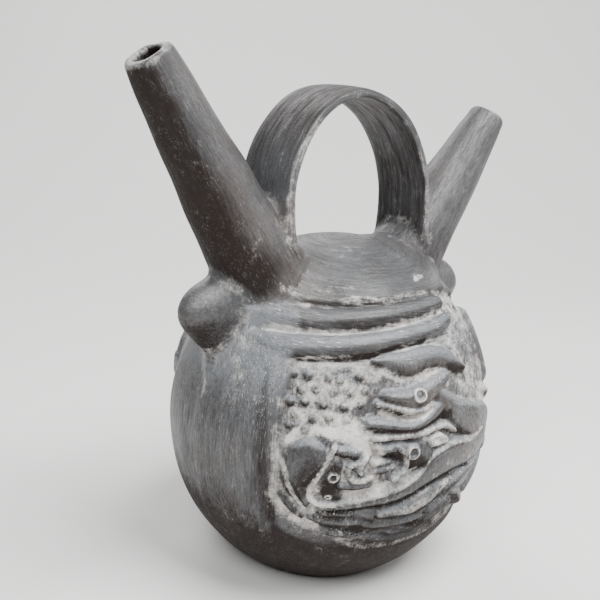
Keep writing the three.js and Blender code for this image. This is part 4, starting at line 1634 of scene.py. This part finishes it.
    def recess(self, angle: np.ndarray, height: np.ndarray) -> list[np.ndarray]:
        """How far each place of the skin lies below its surroundings, and its lift.

        A fine map of the lift over angle and height is compared with its own blur, and both are read
        at the places.

        Args:
            angle: Angles, -180 to 180.
            height: Heights.

        Returns:
            Depths below the surroundings, and lifts.
        """
        angle_step, height_step, lowest = 0.6, 0.8, 20.0
        angles = np.arange(-180.0, 180.0, angle_step)
        heights = np.arange(lowest, 138.0, height_step)
        grid_angle, grid_height = np.meshgrid(angles, heights)
        base = self.body.point(grid_angle, grid_height).reshape(-1, 3)
        lift = self.lift(base, grid_angle.ravel(), grid_height.ravel()).reshape(grid_angle.shape)
        depth = blur(lift, 4) - lift
        column = np.clip((angle + 180.0) / angle_step, 0.0, len(angles) - 1.001)
        row = np.clip((height - lowest) / height_step, 0.0, len(heights) - 1.001)
        c, r = column.astype(int), row.astype(int)
        u, v = column - c, row - r
        read = []
        for grid in (depth, lift):
            low = grid[r, c] * (1 - u) + grid[r, c + 1] * u
            high = grid[r + 1, c] * (1 - u) + grid[r + 1, c + 1] * u
            read.append(low * (1 - v) + high * v)
        return read

    def turned_up(self, points: np.ndarray, facing: np.ndarray) -> np.ndarray:
        """How much further up than the smooth body each vertex faces.

        Args:
            points: Places of the vertices, shape (n, 3).
            facing: How far they face up.

        Returns:
            Differences, negative on undersides, shape (n,).
        """
        out = points - self.body.centre
        out /= np.stack([
            np.full(len(points), self.body.half_width ** 2),
            np.full(len(points), self.body.half_depth ** 2),
            self.body.rise_at(points[:, 2]) ** 2,
        ], axis=1)
        return facing - out[:, 2] / np.linalg.norm(out, axis=1)

    def surveyed(self, mesh: bpy.types.Mesh) -> Skin:
        """Collect what the marks are worked out from.

        Args:
            mesh: The finished mesh.

        Returns:
            The facts of every vertex.
        """
        points = mesh_points(mesh)
        normals = np.empty(len(mesh.vertices) * 3)
        mesh.vertex_normals.foreach_get("vector", normals)
        normals = normals.reshape(-1, 3)
        gaps = self.gaps(points)
        angle, height = self.body.foot_point(points)
        turned = (angle + 90.0) % 180.0 - 90.0
        inward = eased(np.abs(turned), 62.0, -5.0) * eased(height, 30.0, 8.0)
        near_body = (gaps.argmin(axis=0) == Part.BODY) | (gaps[Part.BODY] < 6.0)
        laid, painted_shadow, tint = np.zeros((3, len(points)))
        base = self.body.point(angle, height)
        for panel in self.panels():
            away = (angle - panel.middle + 180.0) % 360.0 - 180.0
            mine = np.flatnonzero((np.abs(away) < 100.0) & near_body)
            dusted, shadowed, tinted = panel.stained(base[mine], away[mine], height[mine])
            laid[mine] = np.maximum(laid[mine], dusted)
            painted_shadow[mine] = np.maximum(painted_shadow[mine], shadowed)
            tint[mine] += tinted
        patches = 0.8 + 0.35 * waves(points, 22.0, 91)
        turned_up = self.turned_up(points, normals[:, 2])
        shape = (points, normals, gaps, angle, height, turned, inward, patches)
        return Skin(*shape, laid, painted_shadow, tint, turned_up)

    def grain(self, skin: Skin) -> np.ndarray:
        """Place of each vertex in the frame of its part, squeezed along the way it was burnished.

        The plain sides are burnished upright, the dome and bands round the body, the spouts and the
        strap lengthways. The lugs and the panels are squeezed less.

        Args:
            skin: The facts of every vertex.

        Returns:
            Places, shape (n, 3).
        """
        points = skin.points
        squeeze = 0.09
        flat = 1.0 - 0.4 * skin.inward
        upright = points * np.stack([flat, flat, squeeze + 0.3 * skin.inward], axis=1)
        meridian = np.arctan2(np.hypot(points[:, 0], points[:, 1]), points[:, 2] - self.body.equator)
        around = [points[:, 0] * squeeze, points[:, 1] * squeeze, meridian * self.body.half_width + 300.0]
        switch = 109.5 + 8.0 * eased(np.abs(skin.turned), 62.0, 14.0)
        grain = np.where((skin.height > switch)[:, None], np.stack(around, axis=1), upright)
        for index, spout in enumerate(self.spouts, Part.NEAR_SPOUT):
            station, side, deep = spout.frame_of(points)
            lengthways = np.stack([side, deep + 60.0 * index, station * squeeze], axis=1)
            grain = np.where((skin.part == index)[:, None], lengthways, grain)
        gap, along = self.strap.frame_of(points)
        strap = np.stack([0.05 * along, 0.5 * points[:, 1] + 200.0, 0.6 * gap], axis=1)
        grain = np.where((skin.part == Part.STRAP)[:, None], strap, grain)
        return np.where((skin.part > Part.STRAP)[:, None], points * 0.6, grain)

    def dust(self, skin: Skin) -> np.ndarray:
        """Pale dust: on the sunk ground, in recesses, along joints, on the lips and the strap's edges.

        Strokes and pale tints add to it; painted shadow and dark tints take it away. It thins out low down.

        Args:
            skin: The facts of every vertex.

        Returns:
            Dust of about 0 to 1, shape (n,).
        """
        depth, lift = self.recess(skin.angle, skin.height)
        sunk = eased(-lift, 0.7, 1.2)
        valley = eased(depth, 0.15, 1.1)
        back = 1.0 - 0.3 * eased(np.abs(skin.angle), 96.0, 8.0)
        gathered = skin.on_body * skin.patches * back * np.maximum(0.74 * sunk, 0.68 * valley)
        dust = np.maximum(gathered * (1.0 - skin.painted_shadow), skin.laid)
        darkened = dust * (1.0 + 0.85 * np.minimum(skin.tint, 0.0))
        dust = np.where(skin.tint > 0.0, np.maximum(dust, 1.15 * skin.tint), darkened)
        dust *= 1.0 - 0.6 * eased(skin.height, 52.0, -14.0) * (1.0 - skin.laid)
        by_lug = faded(skin.gaps[Part.NEAR_LUG:].min(axis=0), 8.0)
        second = np.sort(skin.gaps, axis=0)[1]
        joint = faded(second, 3.2 + 3.0 * by_lug) * (0.46 + 0.22 * waves(skin.points, 14.0, 93))
        edge = eased(np.abs(skin.points[:, 1]), self.strap.width / 2 - 1.2, 1.0) * (skin.part == Part.STRAP)
        dust = np.maximum(np.maximum(dust, joint), 0.30 * edge)
        for index, spout in enumerate(self.spouts, Part.NEAR_SPOUT):
            station, _, _ = spout.frame_of(skin.points)
            dust = np.maximum(dust, 0.5 * eased(station, spout.length - 4.0, 3.4) * (skin.part == index))
        return np.where(self.inside(skin), 0.1, dust)

    def painted_shade(self, skin: Skin) -> np.ndarray:
        """How dark each place is painted: painted shade on undersides, towards the foot and under the steps
        of the relief, and the painted shadow strokes; the plain sides darker below the bands, dark-tinted
        forms darker, and a little more from the upper band up.

        The near spout has painted shade on its down-facing side and towards its root, the far one a little
        all over and more low down. The strap has painted shade on top and within its arch, and the lugs
        below. The hollow is all dark.

        Args:
            skin: The facts of every vertex.

        Returns:
            Painted shade from 0 to about 1.5, shape (n,).
        """
        facing, height = skin.facing, skin.height
        body = 0.75 * np.maximum(-skin.tint, 0.0) + 0.9 * skin.painted_shadow
        body += 0.72 * eased(height - 9.0 * (skin.patches - 0.8), 62.0, -52.0) * (1.0 - 0.8 * skin.laid)
        body += 0.24 * (1.0 - skin.inward) * eased(height, 104.0, -24.0)
        body += 0.22 * eased(height, 119.0, 6.0)
        body += 0.46 * (0.2 + 0.8 * skin.inward) * eased(skin.turned_up, -0.08, -0.42)
        far = 0.3 + 0.3 * eased(skin.points[:, 2], 160.0, -25.0)
        painted_shade = 0.85 * eased(facing, 0.0, -0.9) + body * skin.on_body + far * (skin.part == Part.FAR_SPOUT)
        station, _, _ = self.near.frame_of(skin.points)
        # painted shade on the near spout: darker on its down-facing side and towards its root
        spout_shade = eased(facing, 0.24, -0.66) + 0.35 * eased(station, 70.0, -50.0)
        off_root = eased(skin.gaps[Part.BODY], 0.0, 9.0) * eased(skin.gaps[Part.NEAR_LUG], 0.0, 7.0)
        painted_shade = np.where(skin.part == Part.NEAR_SPOUT, 1.05 * spout_shade * (0.35 + 0.65 * off_root), painted_shade)
        outward = (skin.normals * (skin.points - self.strap.centre)).sum(axis=1)
        strap = 0.10 + 0.56 * eased(facing, 0.0, 0.8) + 0.5 * eased(outward, 8.0, -16.0)
        painted_shade = np.where(skin.part == Part.STRAP, strap, painted_shade)
        painted_shade = np.where(skin.part > Part.STRAP, 0.85 * eased(facing, 0.10, -0.7), painted_shade)
        return np.where(self.inside(skin), 1.0, painted_shade)

    def painted_sheen(self, skin: Skin) -> np.ndarray:
        """Painted highlight of pale grey sheen: on what faces up, on the plain sides and on top of the lugs.

        Args:
            skin: The facts of every vertex.

        Returns:
            Painted highlight from 0 to about 1.5, shape (n,).
        """
        facing, height = skin.facing, skin.height
        # painted highlight: up-facing places, and the plain sides higher up, are laid with pale grey sheen
        slope = eased(facing, 0.12, 0.6) * eased(height, 134.0, -8.0)
        banded = eased(np.abs(skin.turned), 86.0, -12.0)
        plain = (1.0 - skin.inward) * (0.32 * eased(height, 36.0, 50.0) + 0.72 * eased(height, 84.0, 26.0))
        plain *= 1.0 - 0.85 * eased(height, 121.0, 9.0)
        lit = slope * (0.4 + 0.6 * banded) * (1.0 - 0.62 * eased(height, 119.0, 5.0))
        lit *= 1.0 + 0.5 * eased(skin.turned_up, 0.04, 0.3)
        painted_sheen = skin.on_body * np.maximum(lit, plain) * (1.0 + np.minimum(skin.tint, 0.0))
        return np.where(skin.part > Part.STRAP, 0.38 * eased(facing, -0.1, 0.6), painted_sheen)

    def inside(self, skin: Skin) -> np.ndarray:
        """Which vertices lie in the hollow."""
        return self.body.lift(skin.points, self.body.wall) < 1.0

    def mark(self, mesh: bpy.types.Mesh) -> None:
        """Give every vertex its burnishing place, dust, painted shade and painted highlight, for the clay's
        shader.
        """
        skin = self.surveyed(mesh)
        grain = mesh.attributes.new("grain", "FLOAT_VECTOR", "POINT")
        grain.data.foreach_set("vector", self.grain(skin).astype(np.float32).ravel())
        # the painted shade and painted highlight go to the shader as point values, beside the dust
        marks = {"dust": self.dust(skin), "painted_shade": self.painted_shade(skin), "painted_sheen": self.painted_sheen(skin)}
        for name, values in marks.items():
            layer = mesh.attributes.new(name, "FLOAT", "POINT")
            layer.data.foreach_set("value", values.astype(np.float32))

    def build(self) -> bpy.types.Object:
        """Returns:
            The finished piece.
        """
        for panel in self.panels():
            LOG.info("panel at %d degrees: %s", panel.middle, ", ".join(ridge.name for ridge in panel.ridges))
        bottle = self.joined()
        mesh = bottle.data
        self.soften_joints(mesh)
        self.mark(mesh)
        mesh.polygons.foreach_set("use_smooth", np.ones(len(mesh.polygons), bool))
        mesh.materials.clear()
        mesh.materials.append(clay_material(self.clay))
        mesh.update()
        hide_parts("bottle")
        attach(bottle, "root")
        return bottle


def turned(first: Vector, second: Vector, degrees: float) -> tuple[Vector, Vector]:
    """Turn two square directions in their own plane, the first towards the second."""
    turn = math.radians(degrees)
    return (
        first * math.cos(turn) + second * math.sin(turn),
        second * math.cos(turn) - first * math.sin(turn),
    )


@dataclass(frozen=True)
class Studio:
    """Pale floor and backdrop, soft lamps and the camera."""

    floor_colour: tuple[float, float, float, float] = (0.80, 0.79, 0.775, 1.0)
    floor_half: float = 3.0
    sweep_start: float = 0.55
    sweep_radius: float = 0.5
    camera_azimuth: float = 46.41
    camera_distance: float = 0.37658
    camera_height: float = 0.2143
    camera_yaw: float = -2.416
    camera_pitch: float = 14.455
    camera_roll: float = 3.745
    focal_pixels: float = 848.99
    picture_pixels: float = 600.0
    sensor: float = 36.0
    backdrop_height: float = 2.4

    def camera(self) -> None:
        """Place the camera at the photograph's viewing angle.

        It stands at an azimuth left of the front, looks level at the axis, and is then turned by the
        yaw, pitched down and rolled.
        """
        azimuth = math.radians(self.camera_azimuth)
        place = Vector((-math.sin(azimuth), -math.cos(azimuth), 0.0)) * self.camera_distance
        place.z = self.camera_height
        ahead = Vector((math.sin(azimuth), math.cos(azimuth), 0.0))
        right = Vector((math.cos(azimuth), -math.sin(azimuth), 0.0))
        up = Vector((0.0, 0.0, 1.0))
        ahead, right = turned(ahead, right, self.camera_yaw)
        ahead, up = turned(ahead, up, -self.camera_pitch)
        right, up = turned(right, up, self.camera_roll)
        data = bpy.data.cameras.new("camera")
        data.sensor_width = self.sensor
        data.lens = self.focal_pixels / self.picture_pixels * self.sensor
        data.clip_start = 0.01
        camera = bpy.data.objects.new("camera", data)
        turn = Matrix((right, up, -ahead)).transposed()
        camera.matrix_world = Matrix.Translation(place) @ turn.to_4x4()
        bpy.context.scene.collection.objects.link(camera)
        bpy.context.scene.camera = camera

    def floor(self) -> bpy.types.Object:
        """A floor that sweeps up into a backdrop behind the bottle, seen from the camera's side."""
        azimuth = math.radians(self.camera_azimuth)
        bend = np.linspace(0.0, 0.5 * math.pi, 16)
        sweep = self.sweep_start + self.sweep_radius * np.sin(bend)
        run = np.concatenate([[-self.floor_half], sweep, [self.sweep_start + self.sweep_radius]])
        up = np.concatenate([[0.0], self.sweep_radius * (1.0 - np.cos(bend)), [self.backdrop_height]])
        wide = np.array([-self.floor_half, self.floor_half])
        along, across = np.meshgrid(run, wide, indexing="ij")
        height = np.broadcast_to(up[:, None], along.shape)
        x = along * math.sin(azimuth) + across * math.cos(azimuth)
        y = along * math.cos(azimuth) - across * math.sin(azimuth)
        points = np.stack([x, y, height], axis=-1).reshape(-1, 3)
        i = np.arange(len(run) - 1) * 2
        faces = np.stack([i, i + 1, i + 3, i + 2], axis=1)
        mesh = bpy.data.meshes.new("floor")
        mesh.from_pydata(points.tolist(), [], faces[:, ::-1].tolist())
        mesh.polygons.foreach_set("use_smooth", np.ones(len(mesh.polygons), bool))
        mesh.update()
        sheet = NodeSheet("pale paper")
        shader = sheet.add("ShaderNodeBsdfPrincipled", Base_Color=self.floor_colour, Roughness=0.85)
        mesh.materials.append(sheet.finish(shader))
        floor = bpy.data.objects.new("floor", mesh)
        bpy.context.scene.collection.objects.link(floor)
        return floor

    def lamp(self, name: str, place: tuple[float, float, float], size: float, power: float) -> None:
        """A square soft lamp that faces the bottle's middle.

        Args:
            name: Lamp name.
            place: Where it hangs, in metres.
            size: Side in metres.
            power: Power in watts.
        """
        data = bpy.data.lights.new(name, "AREA")
        data.size = size
        data.energy = power
        lamp = bpy.data.objects.new(name, data)
        lamp.location = place
        lamp.rotation_mode = "QUATERNION"
        aim = Vector((0.0, 0.0, 0.1)) - Vector(place)
        lamp.rotation_quaternion = aim.to_track_quat("-Z", "Y")
        bpy.context.scene.collection.objects.link(lamp)

    def build(self) -> None:
        """Set up the world, floor, lamps and camera."""
        world = bpy.data.worlds.new("studio")
        world.use_nodes = True
        background = world.node_tree.nodes["Background"]
        background.inputs["Color"].default_value = (0.92, 0.94, 1.0, 1.0)
        background.inputs["Strength"].default_value = 0.15
        bpy.context.scene.world = world
        self.floor()
        self.lamp("top lamp", (0.10, -0.44, 1.05), 0.6, 22.5)
        self.lamp("left lamp", (-0.75, -0.40, 0.95), 0.6, 10.0)
        self.lamp("right lamp", (0.8, -0.7, 0.6), 0.5, 5.0)
        self.lamp("back lamp", (0.3, 0.9, 0.9), 0.7, 9.0)
        self.camera()


def main() -> None:
    """Build the bottle and the studio, and report each piece."""
    logging.basicConfig(level=logging.INFO, format="%(name)s: %(message)s")
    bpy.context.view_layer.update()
    Studio().build()
    bottle = Bottle().build()
    mesh = bottle.data
    LOG.info("%s has %d vertices and %d faces", bottle.name, len(mesh.vertices), len(mesh.polygons))


if __name__ == "__main__":
    main()
